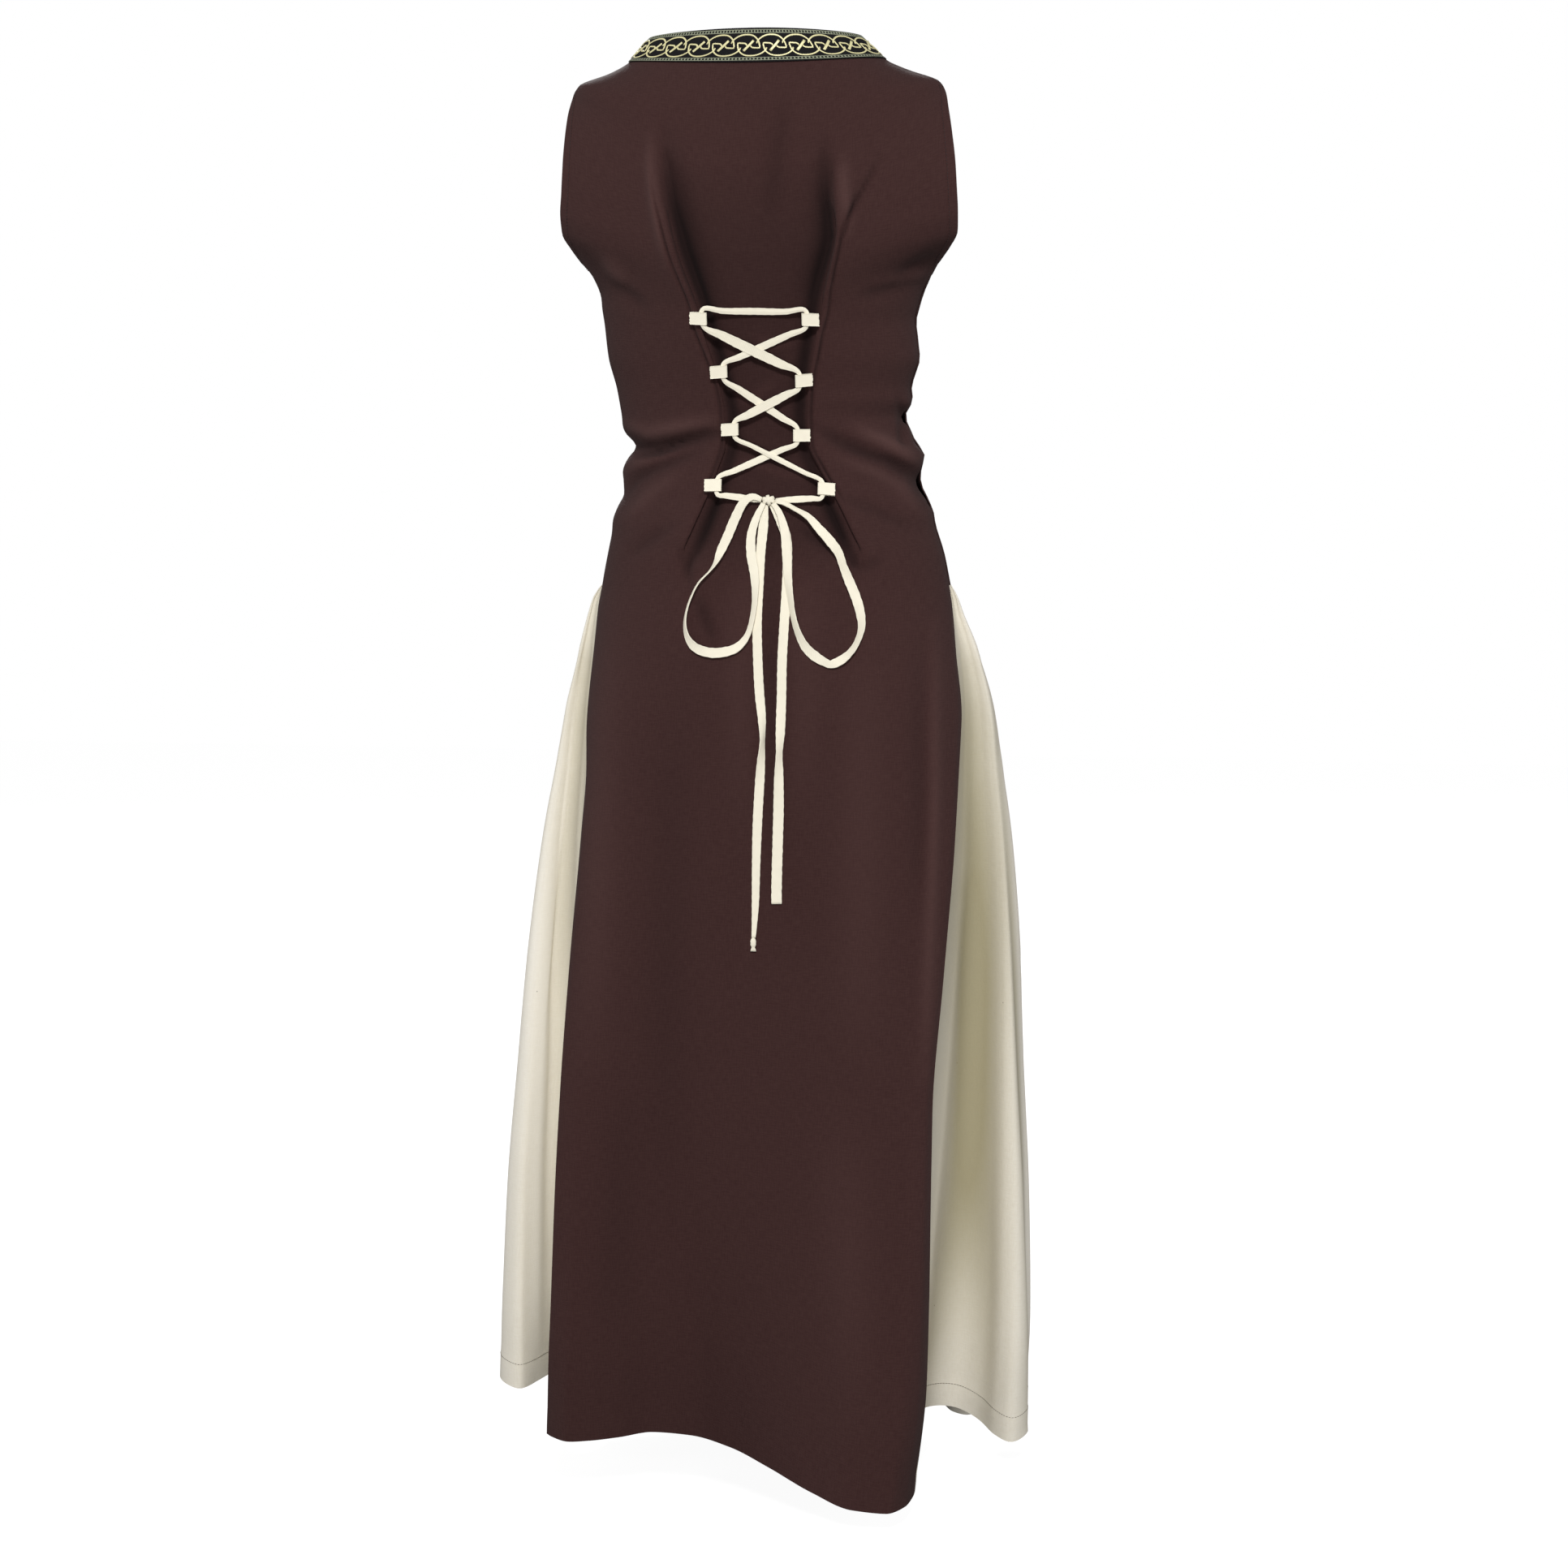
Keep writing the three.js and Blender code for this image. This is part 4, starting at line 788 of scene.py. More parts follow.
# From loop to loop, and how wide the tape lies half way
CROSSINGS_UP = (("r4", "l3", 5.2), ("l3", "r2", 8.6), ("r2", "l1", 9.8))
CROSSINGS_DOWN = (("r1", "l2", 7.2), ("l2", "r3", 7.4), ("r3", "l4", 6.6))
KNOT_X, KNOT_Z, KNOT_LIFT, KNOT_HALF_WIDTH = -18, -435, 2, 6.5
KNOT_DEPTH_AT = -2.8 + 0.75 + 0.3 + 4.2

# Free runs of the lace: x, z, height above the panel, width, turn of the tape in degrees
BOW_LEFT = (
    (-11.6, -434.5, 4.0, 4.6, 0), (-3, -432, 5.2, 6.5, 0), (5, -437.5, 5.4, 8, 10), (12.5, -452, 4.6, 9, 20),
    (19, -469, 4.6, 9, 12), (25, -483, 4.7, 8.6, 0), (29.5, -494, 5.0, 7.4, -40), (35.5, -503, 5.4, 6.4, -62),
    (45, -513, 5.4, 6.6, -62), (53, -529, 5.2, 7.2, -58), (57.5, -547, 4.8, 7.4, -55), (56, -562, 4.4, 8, -42),
    (48, -573, 4.2, 9, -18), (34, -578, 3.8, 9.4, 0), (20, -577.5, 3.8, 9.4, 4), (7, -573, 3.8, 8.8, 15),
    (-2.5, -562, 4.2, 7.8, 38), (-7, -546, 4.6, 7.4, 45), (-9, -526, 4.8, 7.8, 40), (-8, -506, 5.0, 8.8, 15),
    (-4, -486, 5.4, 9, 0), (-3.5, -468, 5.8, 8.4, 0), (-8, -451, 6.0, 6.6, 0), (-13.5, -438.2, 4.6, 4.6, 0),
)
BOW_RIGHT = (
    (-24.4, -435.5, 4.0, 4.6, 0), (-33, -438, 5.2, 5.2, 30), (-43, -443.5, 5.4, 6, 42), (-55, -450.5, 5.0, 7.6, 30),
    (-65.5, -462, 5.2, 8.8, 12), (-76, -474, 5.6, 9.4, 0), (-84, -485, 5.8, 8.4, -25), (-88.5, -497, 5.6, 8, -35),
    (-94, -510, 5.4, 9, -15), (-100.5, -525, 5.0, 9.4, -8), (-105.5, -540, 4.8, 8.8, -25), (-107.5, -554, 4.6, 7.8, -45),
    (-104.5, -567, 4.4, 7.4, -52), (-98, -578, 4.2, 8, -40), (-89, -585.5, 4.0, 9, -15), (-80.5, -588.5, 3.8, 7.5, 10),
    (-77, -587, 3.8, 7.5, 12), (-69, -582.5, 3.8, 9.2, 5), (-58.5, -573.5, 4.0, 9, 22), (-51, -561, 4.4, 8, 42),
    (-45.5, -545, 4.8, 7.4, 50), (-42, -527, 5.0, 7.6, 45), (-39, -506, 5.4, 8.4, 25), (-37, -484, 5.8, 9, 5),
    (-34, -463, 6.0, 8, 0), (-28.5, -447, 5.6, 6, 0), (-22.5, -438.2, 4.6, 4.6, 0),
)
TAIL_LEFT = (
    (-14.8, -439.3, 1.6, 6, 0), (-14, -458, 1.6, 9, 0), (-12.5, -482, 1.7, 9, 0), (-12, -515, 1.7, 9, 0),
    (-11.5, -550, 1.7, 9, 0), (-13, -585, 1.7, 9, 0), (-15, -615, 1.7, 9, 0), (-18, -640, 4.0, 8, 30),
    (-19, -660, 5.4, 7, 60), (-17.5, -680, 4.0, 8, 30), (-16, -700, 1.8, 9, 0), (-14, -740, 1.7, 9, 0),
    (-13, -780, 1.7, 8, 0), (-12.5, -815, 1.7, 7, 0), (-11.5, -838, 1.8, 5, 0), (-11, -848, 2.4, 4, 0),
)
TAIL_RIGHT = (
    (-21.5, -439.1, 1.6, 6, 0), (-30, -454, 1.7, 9, 0), (-36, -470, 1.8, 9, 0), (-38, -495, 1.8, 9, 0),
    (-38, -520, 1.8, 9, 0), (-37, -552, 1.8, 9, 0), (-36, -585, 1.7, 9, 0), (-36, -620, 1.7, 9, 0),
    (-35.6, -650, 3.6, 9, 20), (-35, -672, 5.2, 8, 50), (-34.5, -695, 3.6, 9, 20), (-34.2, -725, 1.7, 10, 0),
    (-33.6, -755, 1.7, 10, 0), (-33, -785, 1.7, 10, 0), (-32.8, -808, 1.8, 10, 0), (-33, -815, 1.9, 10, 0),
)


def back_place(x, z, lift):
    """A place over the back's middle surface with its outward direction."""
    point, out = back_surface(x, position_of(z))
    return point + out * lift, out


def loop_frame(name):
    """Centre of a tape loop and its directions: inwards, away from the cloth, and up."""
    x, z, inward, _, _ = LACE_LOOPS[name]
    _, out = back_place(x, z, 0)
    lean = unit(mix(out, unit(out * [0, 1, 1]), LOOP_LEAN))
    inwards = np.array([inward, 0, 0], float)
    inwards = unit(inwards - lean * inwards.dot(lean))
    up = np.cross(lean, inwards) if inward > 0 else np.cross(inwards, lean)
    up = up if up[2] > 0 else -up
    seat = 4.4 + 0.75 + LOOP_CLEAR + LOOP_WALL + LOOP_MOUTH / 2
    position = position_of(z)
    edge = float(level("tuckLeft", position)) if inward < 0 else -float(level("tuckRight", position))
    point, _ = back_place(edge, z, seat)
    return point + inwards * (x - edge) * inward, inwards, lean, up


def loop_ends(name):
    """The two ends of the lace's way through a loop: its head and its foot."""
    centre, inwards, lean, up = loop_frame(name)
    _, _, _, head_out, foot_out = LACE_LOOPS[name]
    middle = centre + inwards * LOOP_LACE_OFFSET
    head = (middle + up * (LOOP_HEIGHT / 2 + head_out), lean, LACE_NARROW)
    foot = (middle - up * (LOOP_HEIGHT / 2 + foot_out), lean, LACE_NARROW)
    return head, foot


def crossing(start, end, hump, width):
    """Places between two ends of the lace, bent out of the straight line by a hump."""
    made = []
    for share in LACE_SHARES:
        out = unit(mix(start[1], end[1], share))
        point = mix(start[0], end[0], share) + out * hump * math.sin(math.pi * share)
        made.append((point, out, width * (1 if share == 0.5 else 0.85)))
    return made


def laced_places():
    """The lace from the knot through all the loops and back to the knot."""
    ends = {name: loop_ends(name) for name in LACE_LOOPS}

    def to_knot(end, side):
        point, out = back_place(KNOT_X + side * (KNOT_HALF_WIDTH + 0.3), KNOT_Z, KNOT_LIFT)
        return crossing(end, (point, out), 0, LACE_BAR) + [(point, out, LACE_NARROW)]

    places = to_knot(ends["r4"][1], -1)[::-1] + [ends["r4"][1], ends["r4"][0]]
    for first, second, width in CROSSINGS_UP:
        places += crossing(ends[first][0], ends[second][1], LACE_OVER, width)
        places += [ends[second][1], ends[second][0]]
    bar = crossing(ends["l1"][0], ends["r1"][0], 0, LACE_BAR)
    places += [(point - np.array([0, 0, BAR_SAG]), out, width) for point, out, width in bar]
    places += [ends["r1"][0], ends["r1"][1]]
    for first, second, width in CROSSINGS_DOWN:
        places += crossing(ends[first][1], ends[second][0], LACE_UNDER, width)
        places += [ends[second][0], ends[second][1]]
    return places + to_knot(ends["l4"][1], 1)


def run_places(run):
    """Places of a free run of the lace, with the turn of the tape."""
    made = []
    for x, z, lift, width, twist in run:
        point, out = back_place(x, z, lift)
        made.append((point, out, width, twist))
    return made


# ---- meshes ----

# Crease heights across this many millimetres span "relief" from full painted shade to full painted highlight
RELIEF_RANGE = 18


def finish_mesh(name, points, faces, uv=None, smooth=True):
    """A mesh object from points in millimetres, with its faces' places on the flat cloth as a UV map."""
    mesh = bpy.data.meshes.new(name)
    mesh.from_pydata((np.asarray(points, float) * MM).tolist(), [], np.asarray(faces).tolist()
                     if isinstance(faces, np.ndarray) else faces)
    if uv is not None:
        layer = mesh.uv_layers.new(name="flat")
        corner = np.zeros(len(mesh.loops), np.int32)
        mesh.loops.foreach_get("vertex_index", corner)
        layer.data.foreach_set("uv", (np.asarray(uv, float)[corner] * MM).ravel())
    mesh.polygons.foreach_set("use_smooth", [smooth] * len(mesh.polygons))
    mesh.validate()
    piece = bpy.data.objects.new(name, mesh)
    bpy.context.scene.collection.objects.link(piece)
    return piece


def grid_faces(rows, columns, closed=False, flip=False):
    """Quads of a grid of points, their front towards the viewer when columns run to the right."""
    spans = columns if closed else columns - 1
    r, c = np.meshgrid(np.arange(rows - 1), np.arange(spans), indexing="ij")
    after = (c + 1) % columns
    quads = np.stack([r * columns + c, (r + 1) * columns + c, (r + 1) * columns + after, r * columns + after], -1)
    quads = quads.reshape(-1, 4)
    return quads[:, ::-1] if flip else quads


def flat_places(grid):
    """Place of every grid point on the flat cloth: across from the middle column, and down from the top."""
    across = np.cumsum(np.linalg.norm(np.diff(grid, axis=1), axis=-1), axis=1)
    across = np.hstack([np.zeros((len(grid), 1)), across])
    across = across - across[:, across.shape[1] // 2][:, None]
    middle = grid[:, grid.shape[1] // 2]
    down = np.concatenate([[0], np.cumsum(np.linalg.norm(np.diff(middle, axis=0), axis=-1))])
    return np.stack([across, -down[:, None] + 0 * across], -1)


def select_only(piece):
    bpy.ops.object.select_all(action="DESELECT")
    piece.select_set(True)
    bpy.context.view_layer.objects.active = piece


def apply_modifier(piece, kind, **values):
    """Adds a modifier with its values and applies it."""
    made = piece.modifiers.new(kind.title(), kind)
    for name, value in values.items():
        setattr(made, name, value)
    select_only(piece)
    bpy.ops.object.modifier_apply(modifier=made.name)


def cloth_piece(name, grid, relief, weights, flip=False):
    """A thin shell of cloth on a grid of points, thicker where it is turned under.

    The height of its creases goes with it as the attribute "relief": 0.5 is flat, 0 deep and 1 high. The cloth's
    material paints shade where it is low and highlight where it is high.
    """
    rows, columns = grid.shape[:2]
    piece = finish_mesh(name, grid.reshape(-1, 3), grid_faces(rows, columns, flip=flip),
                        flat_places(grid).reshape(-1, 2))
    heights = piece.data.attributes.new("relief", "FLOAT", "POINT")
    heights.data.foreach_set("value", np.clip(0.5 + relief / RELIEF_RANGE, 0, 1).ravel().astype(np.float32))
    group = piece.vertex_groups.new(name="turned_under")
    cloth = settings().cloth
    thin = cloth.thickness / cloth.hem_thickness
    weights = mix(thin, 1.0, np.clip(weights, 0, 1)).ravel()
    steps = np.round(weights, 2)
    for value in np.unique(steps):
        group.add(np.nonzero(steps == value)[0].tolist(), float(value), "REPLACE")
    apply_modifier(piece, "SOLIDIFY", thickness=cloth.hem_thickness, offset=0.0, use_rim=True,
                   vertex_group="turned_under", thickness_vertex_group=0.0)
    select_only(piece)
    bpy.ops.object.shade_smooth_by_angle(angle=math.radians(55))
    return piece


def edge_run(grid, axis, from_end):
    """Distance of every grid point from one edge of the cloth, along the cloth."""
    step = np.linalg.norm(np.diff(grid, axis=axis), axis=-1)
    run = np.cumsum(step, axis=axis)
    run = np.concatenate([np.zeros_like(np.take(run, [0], axis=axis)), run], axis=axis)
    return np.take(run, [-1], axis=axis) - run if from_end else run


def inset_line(grid, distance, axis, from_end, rows=None):
    """Points at a distance from an edge of the cloth, one for each row (axis 1) or column (axis 0)."""
    run = edge_run(grid, axis, from_end)
    if axis == 0:
        grid, run = grid.transpose(1, 0, 2), run.T
    made = []
    for index in range(len(grid)) if rows is None else rows:
        order = np.argsort(run[index])
        made.append([np.interp(distance, run[index][order], grid[index][order, k]) for k in range(3)])
    return np.array(made)


def stitches(name, lines, gap=0.25, lift=0.35):
    """Sewing stitches along lines of points with outward directions: short spindles of thread."""
    thread = settings().thread
    pitch, half = thread.stitch / MM, thread.width / MM / 2
    ring = [(math.cos(a), math.sin(a)) for a in np.linspace(0, 2 * math.pi, 5, endpoint=False)]
    profile = ((0.0, 0.35), (0.25, 1.0), (0.75, 1.0), (1.0, 0.35))
    points, faces = [], []
    for line, outs in lines:
        run = np.concatenate([[0], np.cumsum(np.linalg.norm(np.diff(line, axis=0), axis=1))])
        count = max(1, int(run[-1] / pitch))
        for k in range(count):
            ends = np.array([k, k + 1 - gap]) / count * run[-1]
            start, end = (np.array([np.interp(e, run, line[:, i]) for i in range(3)]) for e in ends)
            out = unit(np.array([np.interp(ends.mean(), run, outs[:, i]) for i in range(3)]))
            along = unit(end - start)
            across = unit(np.cross(along, out))
            up = np.cross(across, along)
            base = len(points)
            for share, wide in profile:
                centre = mix(start, end, share) + up * (lift - half * (1 - wide))
                points += [centre + across * c * half * wide + up * s * half * wide for c, s in ring]
            for j in range(len(profile) - 1):
                faces += [
                    (base + 5 * j + i, base + 5 * j + (i + 1) % 5, base + 5 * j + 5 + (i + 1) % 5,
                     base + 5 * j + 5 + i)
                    for i in range(5)
                ]
            faces += [tuple(base + i for i in range(4, -1, -1)), tuple(base + 15 + i for i in range(5))]
    return finish_mesh(name, points, faces)


# Half of a tape's section: place across as a share of half the width, height as a share of the thickness
TAPE_SECTION = ((-1.0, 0.0), (-0.98, 0.42), (-0.9, 0.55), (-0.8, 0.42), (-0.4, 0.46), (0.0, 0.48),
                (0.4, 0.46), (0.8, 0.42), (0.9, 0.55), (0.98, 0.42), (1.0, 0.0), (0.98, -0.42),
                (0.9, -0.55), (0.8, -0.42), (0.4, -0.46), (0.0, -0.48), (-0.4, -0.46), (-0.8, -0.42),
                (-0.9, -0.55), (-0.98, -0.42))


def tape_piece(name, places, step=2.2, thick=None, cup=0.0, wobble=0.25, ends_in=True):
    """A flat woven tape along places (point, outward direction, width, turn), smooth between them."""
    thick = settings().tape.thickness / MM if thick is None else thick
    table = np.array([[*p[0], *p[1], p[2], p[3] if len(p) > 3 else 0] for p in places], float)
    count = int(length_of(table[:, :3]) / step) + 2
    line = smooth_path(table, count)
    along = unit(np.gradient(line[:, :3], axis=0))
    out = unit(line[:, 3:6])
    across = unit(np.cross(along, out))
    up = np.cross(across, along)
    turn = np.radians(line[:, 7])[:, None]
    across, up = across * np.cos(turn) + up * np.sin(turn), up * np.cos(turn) - across * np.sin(turn)
    run = np.concatenate([[0], np.cumsum(np.linalg.norm(np.diff(line[:, :3], axis=0), axis=1))])
    half = line[:, 6] / 2
    narrow = np.clip((LACE_WIDE - line[:, 6]) / (LACE_WIDE - LACE_NARROW), 0, 1)
    rings, uvs = [], []
    for share, height in TAPE_SECTION:
        uneven = 1 + 0.03 * np.sin(run * 0.9 + 3 * share) + 0.02 * np.sin(run * 2.3 + 1)
        reach_out = half * share * (uneven if abs(share) > 0.85 else 1)
        bend = cup * (share**2) * half * 0.3 - narrow * 0.5 * (share**2)
        fold = narrow * 0.35 * math.copysign(1, height) * (1 - abs(share)) if height else 0
        lift = height * thick * (1 + 0.5 * narrow) + bend + fold * thick
        ring = line[:, :3] + across * reach_out[:, None] + up * (lift + wobble * 0.2 * np.sin(run * 0.35))[:, None]
        rings.append(ring)
        uvs.append(np.stack([run, half * share + (20 if height < 0 else 0)], -1))
    grid = np.stack(rings, 1)
    rows, columns = grid.shape[:2]
    faces = grid_faces(rows, columns, closed=True).tolist()
    faces += [tuple(range(columns)), tuple((rows - 1) * columns + i for i in range(columns - 1, -1, -1))]
    piece = finish_mesh(name, grid.reshape(-1, 3), faces, np.stack(uvs, 1).reshape(-1, 2))
    return piece, line[:, :3] * MM


# ---- materials ----


def add_node(tree, kind, inputs=None, **values):
    """Adds one node, sets its own values and its inputs, and links the inputs that are sockets."""
    made = tree.nodes.new(kind)
    for name, value in values.items():
        setattr(made, name, value)
    for name, value in (inputs or {}).items():
        socket = made.inputs[name]
        if isinstance(value, bpy.types.NodeSocket):
            tree.links.new(value, socket)
        else:
            socket.default_value = value
    return made


def new_material(name):
    """An empty material with its shader, and its node tree."""
    material = bpy.data.materials.new(name)
    material.use_nodes = True
    tree = material.node_tree
    tree.nodes.clear()
    shader = add_node(tree, "ShaderNodeBsdfPrincipled")
    add_node(tree, "ShaderNodeOutputMaterial", {"Surface": shader.outputs["BSDF"]})
    return material, tree, shader


def colour4(value):
    return (*value, 1.0)


def wave_scale(period_mm):
    """Scale of a wave texture whose bands lie this far apart."""
    return math.tau / 20 / (period_mm * MM)


def woven(tree, uv, thread_mm, seed=0.0):
    """Height of a plain weave on the flat cloth: uneven threads along it and across it."""
    scale = 1 / (thread_mm * MM)
    parts = []
    for stretch in ((scale, scale * 0.12, 1), (scale * 0.12, scale, 1)):
        place = add_node(tree, "ShaderNodeMapping", {"Vector": uv, "Location": (seed, seed, 0), "Scale": stretch})
        noise = add_node(tree, "ShaderNodeTexNoise", {
            "Vector": place.outputs["Vector"], "Scale": 1.0, "Detail": 2.0, "Roughness": 0.6,
        }, noise_dimensions="2D")
        parts.append(noise.outputs["Fac"])
    return add_node(tree, "ShaderNodeMath", {0: parts[0], 1: parts[1]}, operation="ADD").outputs["Value"]


def cloth_material(name, dark, light, deep, painted_highlight, thread_mm, bump_mm, flecks=None, blotch=0.25):
    """Plain woven cotton. Fine uneven threads show as a faint grid, and dye or fibre gives soft blotches.

    Painted shade darkens cloth deep in a fold and painted highlight pales the tops of folds, after "relief".
    """
    material, tree, shader = new_material(name)
    uv = add_node(tree, "ShaderNodeUVMap", uv_map="flat").outputs["UV"]
    weave = woven(tree, uv, thread_mm)
    centred = add_node(tree, "ShaderNodeMapRange", {
        "Value": weave, "From Min": 0.7, "From Max": 1.3, "To Min": 0.0, "To Max": 1.0})
    cloud = add_node(tree, "ShaderNodeTexNoise", {"Vector": uv, "Scale": 9.0, "Detail": 3.0, "Roughness": 0.55})
    share = add_node(tree, "ShaderNodeMix", {
        "Factor": blotch, "A": centred.outputs["Result"], "B": cloud.outputs["Fac"]}, data_type="FLOAT")
    colour = add_node(tree, "ShaderNodeMix", {
        "Factor": share.outputs["Result"], "A": colour4(dark), "B": colour4(light)}, data_type="RGBA")
    result = colour.outputs["Result"]
    relief = add_node(tree, "ShaderNodeAttribute", attribute_name="relief").outputs["Fac"]
    # Painted shade towards the deep colour where "relief" is low, painted highlight towards the pale colour where it
    # is high
    for tone, most, end in ((deep, 0.85, 0.0), (painted_highlight, 0.8, 1.0)):
        share = add_node(tree, "ShaderNodeMapRange", {
            "Value": relief, "From Min": 0.5, "From Max": end, "To Min": 0.0, "To Max": most})
        result = add_node(tree, "ShaderNodeMix", {
            "Factor": share.outputs["Result"], "A": result, "B": colour4(tone)}, data_type="RGBA").outputs["Result"]
    if flecks is not None:
        spots = add_node(tree, "ShaderNodeTexVoronoi", {"Vector": uv, "Scale": 34.0, "Randomness": 1.0})
        near = add_node(tree, "ShaderNodeMapRange", {
            "Value": spots.outputs["Distance"], "From Min": 0.012, "From Max": 0.03, "To Min": 0.75, "To Max": 0.0})
        tint = add_node(tree, "ShaderNodeMix", {
            "Factor": near.outputs["Result"], "A": result, "B": colour4(flecks)}, data_type="RGBA")
        result = tint.outputs["Result"]
    tree.links.new(result, shader.inputs["Base Color"])
    bump = add_node(tree, "ShaderNodeBump", {"Height": weave, "Strength": 0.5, "Distance": bump_mm * MM})
    tree.links.new(bump.outputs["Normal"], shader.inputs["Normal"])
    shader.inputs["Roughness"].default_value = 0.9
    shader.inputs["Specular IOR Level"].default_value = 0.12
    shader.inputs["Sheen Weight"].default_value = 0.015
    shader.inputs["Sheen Roughness"].default_value = 0.6
    return material


def tape_material(name, colour, across_mm=1.3):
    """Bleached cotton tape in a fine herringbone. Its slanted rows and firmer edges catch the light."""
    material, tree, shader = new_material(name)
    uv = add_node(tree, "ShaderNodeUVMap", uv_map="flat").outputs["UV"]
    place = add_node(tree, "ShaderNodeMapping", {"Vector": uv, "Rotation": (0, 0, 0.7)})
    rows = add_node(tree, "ShaderNodeTexWave", {
        "Vector": place.outputs["Vector"], "Scale": wave_scale(across_mm), "Distortion": 1.2, "Detail": 2.0,
        "Detail Scale": 1.5,
    })
    cloud = add_node(tree, "ShaderNodeTexNoise", {"Vector": uv, "Scale": 160.0, "Detail": 3.0})
    shade = add_node(tree, "ShaderNodeMix", {
        "Factor": 0.55, "A": rows.outputs["Fac"], "B": cloud.outputs["Fac"]}, data_type="FLOAT")
    darker = tuple(c * 0.82 for c in colour)
    mixed = add_node(tree, "ShaderNodeMix", {
        "Factor": shade.outputs["Result"], "A": colour4(darker), "B": colour4(colour)}, data_type="RGBA")
    tree.links.new(mixed.outputs["Result"], shader.inputs["Base Color"])
    bump = add_node(tree, "ShaderNodeBump", {
        "Height": shade.outputs["Result"], "Strength": 0.35, "Distance": 0.25 * MM})
    tree.links.new(bump.outputs["Normal"], shader.inputs["Normal"])
    shader.inputs["Roughness"].default_value = 0.8
    shader.inputs["Specular IOR Level"].default_value = 0.3
    return material


def ribbon_material(name):
    """Black woven ribbon. Both edges carry a ladder of pale metal thread: two thin lines with short rungs."""
    material, tree, shader = new_material(name)
    colours = settings().braid
    uv = add_node(tree, "ShaderNodeUVMap", uv_map="flat").outputs["UV"]
    parts = add_node(tree, "ShaderNodeSeparateXYZ", {"Vector": uv})
    away = add_node(tree, "ShaderNodeMath", {0: parts.outputs["Y"]}, operation="ABSOLUTE").outputs["Value"]

    def line_at(place_mm, half_mm):
        gap = add_node(tree, "ShaderNodeMath", {0: away, 1: place_mm * MM}, operation="SUBTRACT")
        gap = add_node(tree, "ShaderNodeMath", {0: gap.outputs["Value"]}, operation="ABSOLUTE")
        return add_node(tree, "ShaderNodeMapRange", {
            "Value": gap.outputs["Value"], "From Min": half_mm * 1.35 * MM, "From Max": half_mm * 0.65 * MM,
            "To Min": 0.0, "To Max": 1.0}).outputs["Result"]

    rung = add_node(tree, "ShaderNodeTexWave", {
        "Vector": uv, "Scale": wave_scale(BRAID_RUNG), "Distortion": 0.0,
        "Detail": 0.0}, bands_direction="X")
    rung = add_node(tree, "ShaderNodeMapRange", {
        "Value": rung.outputs["Fac"], "From Min": 0.55, "From Max": 0.75, "To Min": 0.0, "To Max": 1.0})
    ladder = add_node(tree, "ShaderNodeMath", {
        0: line_at(BRAID_LADDER, 1.3), 1: rung.outputs["Result"]}, operation="MULTIPLY").outputs["Value"]
    for place in (BRAID_LADDER - 1.35, BRAID_LADDER + 1.35):
        ladder = add_node(tree, "ShaderNodeMath", {
            0: ladder, 1: line_at(place, 0.34)}, operation="MAXIMUM").outputs["Value"]
    cloud = add_node(tree, "ShaderNodeTexNoise", {"Vector": uv, "Scale": 700.0, "Detail": 2.0})
    faint = add_node(tree, "ShaderNodeMapRange", {
        "Value": cloud.outputs["Fac"], "From Min": 0.3, "From Max": 0.7, "To Min": 0.55, "To Max": 0.95})
    shown = add_node(tree, "ShaderNodeMath", {
        0: ladder, 1: faint.outputs["Result"]}, operation="MULTIPLY").outputs["Value"]
    ribs = add_node(tree, "ShaderNodeTexWave", {
        "Vector": uv, "Scale": wave_scale(0.9), "Distortion": 0.6, "Detail": 1.0}, bands_direction="X")
    ground = add_node(tree, "ShaderNodeMix", {
        "Factor": ribs.outputs["Fac"], "A": colour4(tuple(c * 0.6 for c in colours.ground)),
        "B": colour4(tuple(c * 1.2 for c in colours.ground))}, data_type="RGBA")
    mixed = add_node(tree, "ShaderNodeMix", {
        "Factor": shown, "A": ground.outputs["Result"], "B": colour4(colours.border)}, data_type="RGBA")
    tree.links.new(mixed.outputs["Result"], shader.inputs["Base Color"])
    height = add_node(tree, "ShaderNodeMath", {0: ribs.outputs["Fac"], 1: ladder}, operation="ADD")
    bump = add_node(tree, "ShaderNodeBump", {
        "Height": height.outputs["Value"], "Strength": 0.5, "Distance": 0.2 * MM})
    tree.links.new(bump.outputs["Normal"], shader.inputs["Normal"])
    shader.inputs["Roughness"].default_value = 0.75
    shader.inputs["Specular IOR Level"].default_value = 0.12
    return material


def thread_material(name, colour, roughness=0.6, shine=0.0):
    """Twisted thread. Fine slanted plies break its colour up."""
    material, tree, shader = new_material(name)
    place = add_node(tree, "ShaderNodeTexCoord").outputs["Object"]
    plies = add_node(tree, "ShaderNodeTexNoise", {"Vector": place, "Scale": 1400.0, "Detail": 1.0})
    mixed = add_node(tree, "ShaderNodeMix", {
        "Factor": plies.outputs["Fac"], "A": colour4(tuple(c * 0.72 for c in colour)), "B": colour4(colour)},
        data_type="RGBA")
    tree.links.new(mixed.outputs["Result"], shader.inputs["Base Color"])
    bump = add_node(tree, "ShaderNodeBump", {
        "Height": plies.outputs["Fac"], "Strength": 0.4, "Distance": 0.15 * MM})
    tree.links.new(bump.outputs["Normal"], shader.inputs["Normal"])
    shader.inputs["Roughness"].default_value = roughness
    shader.inputs["Metallic"].default_value = shine
    return material


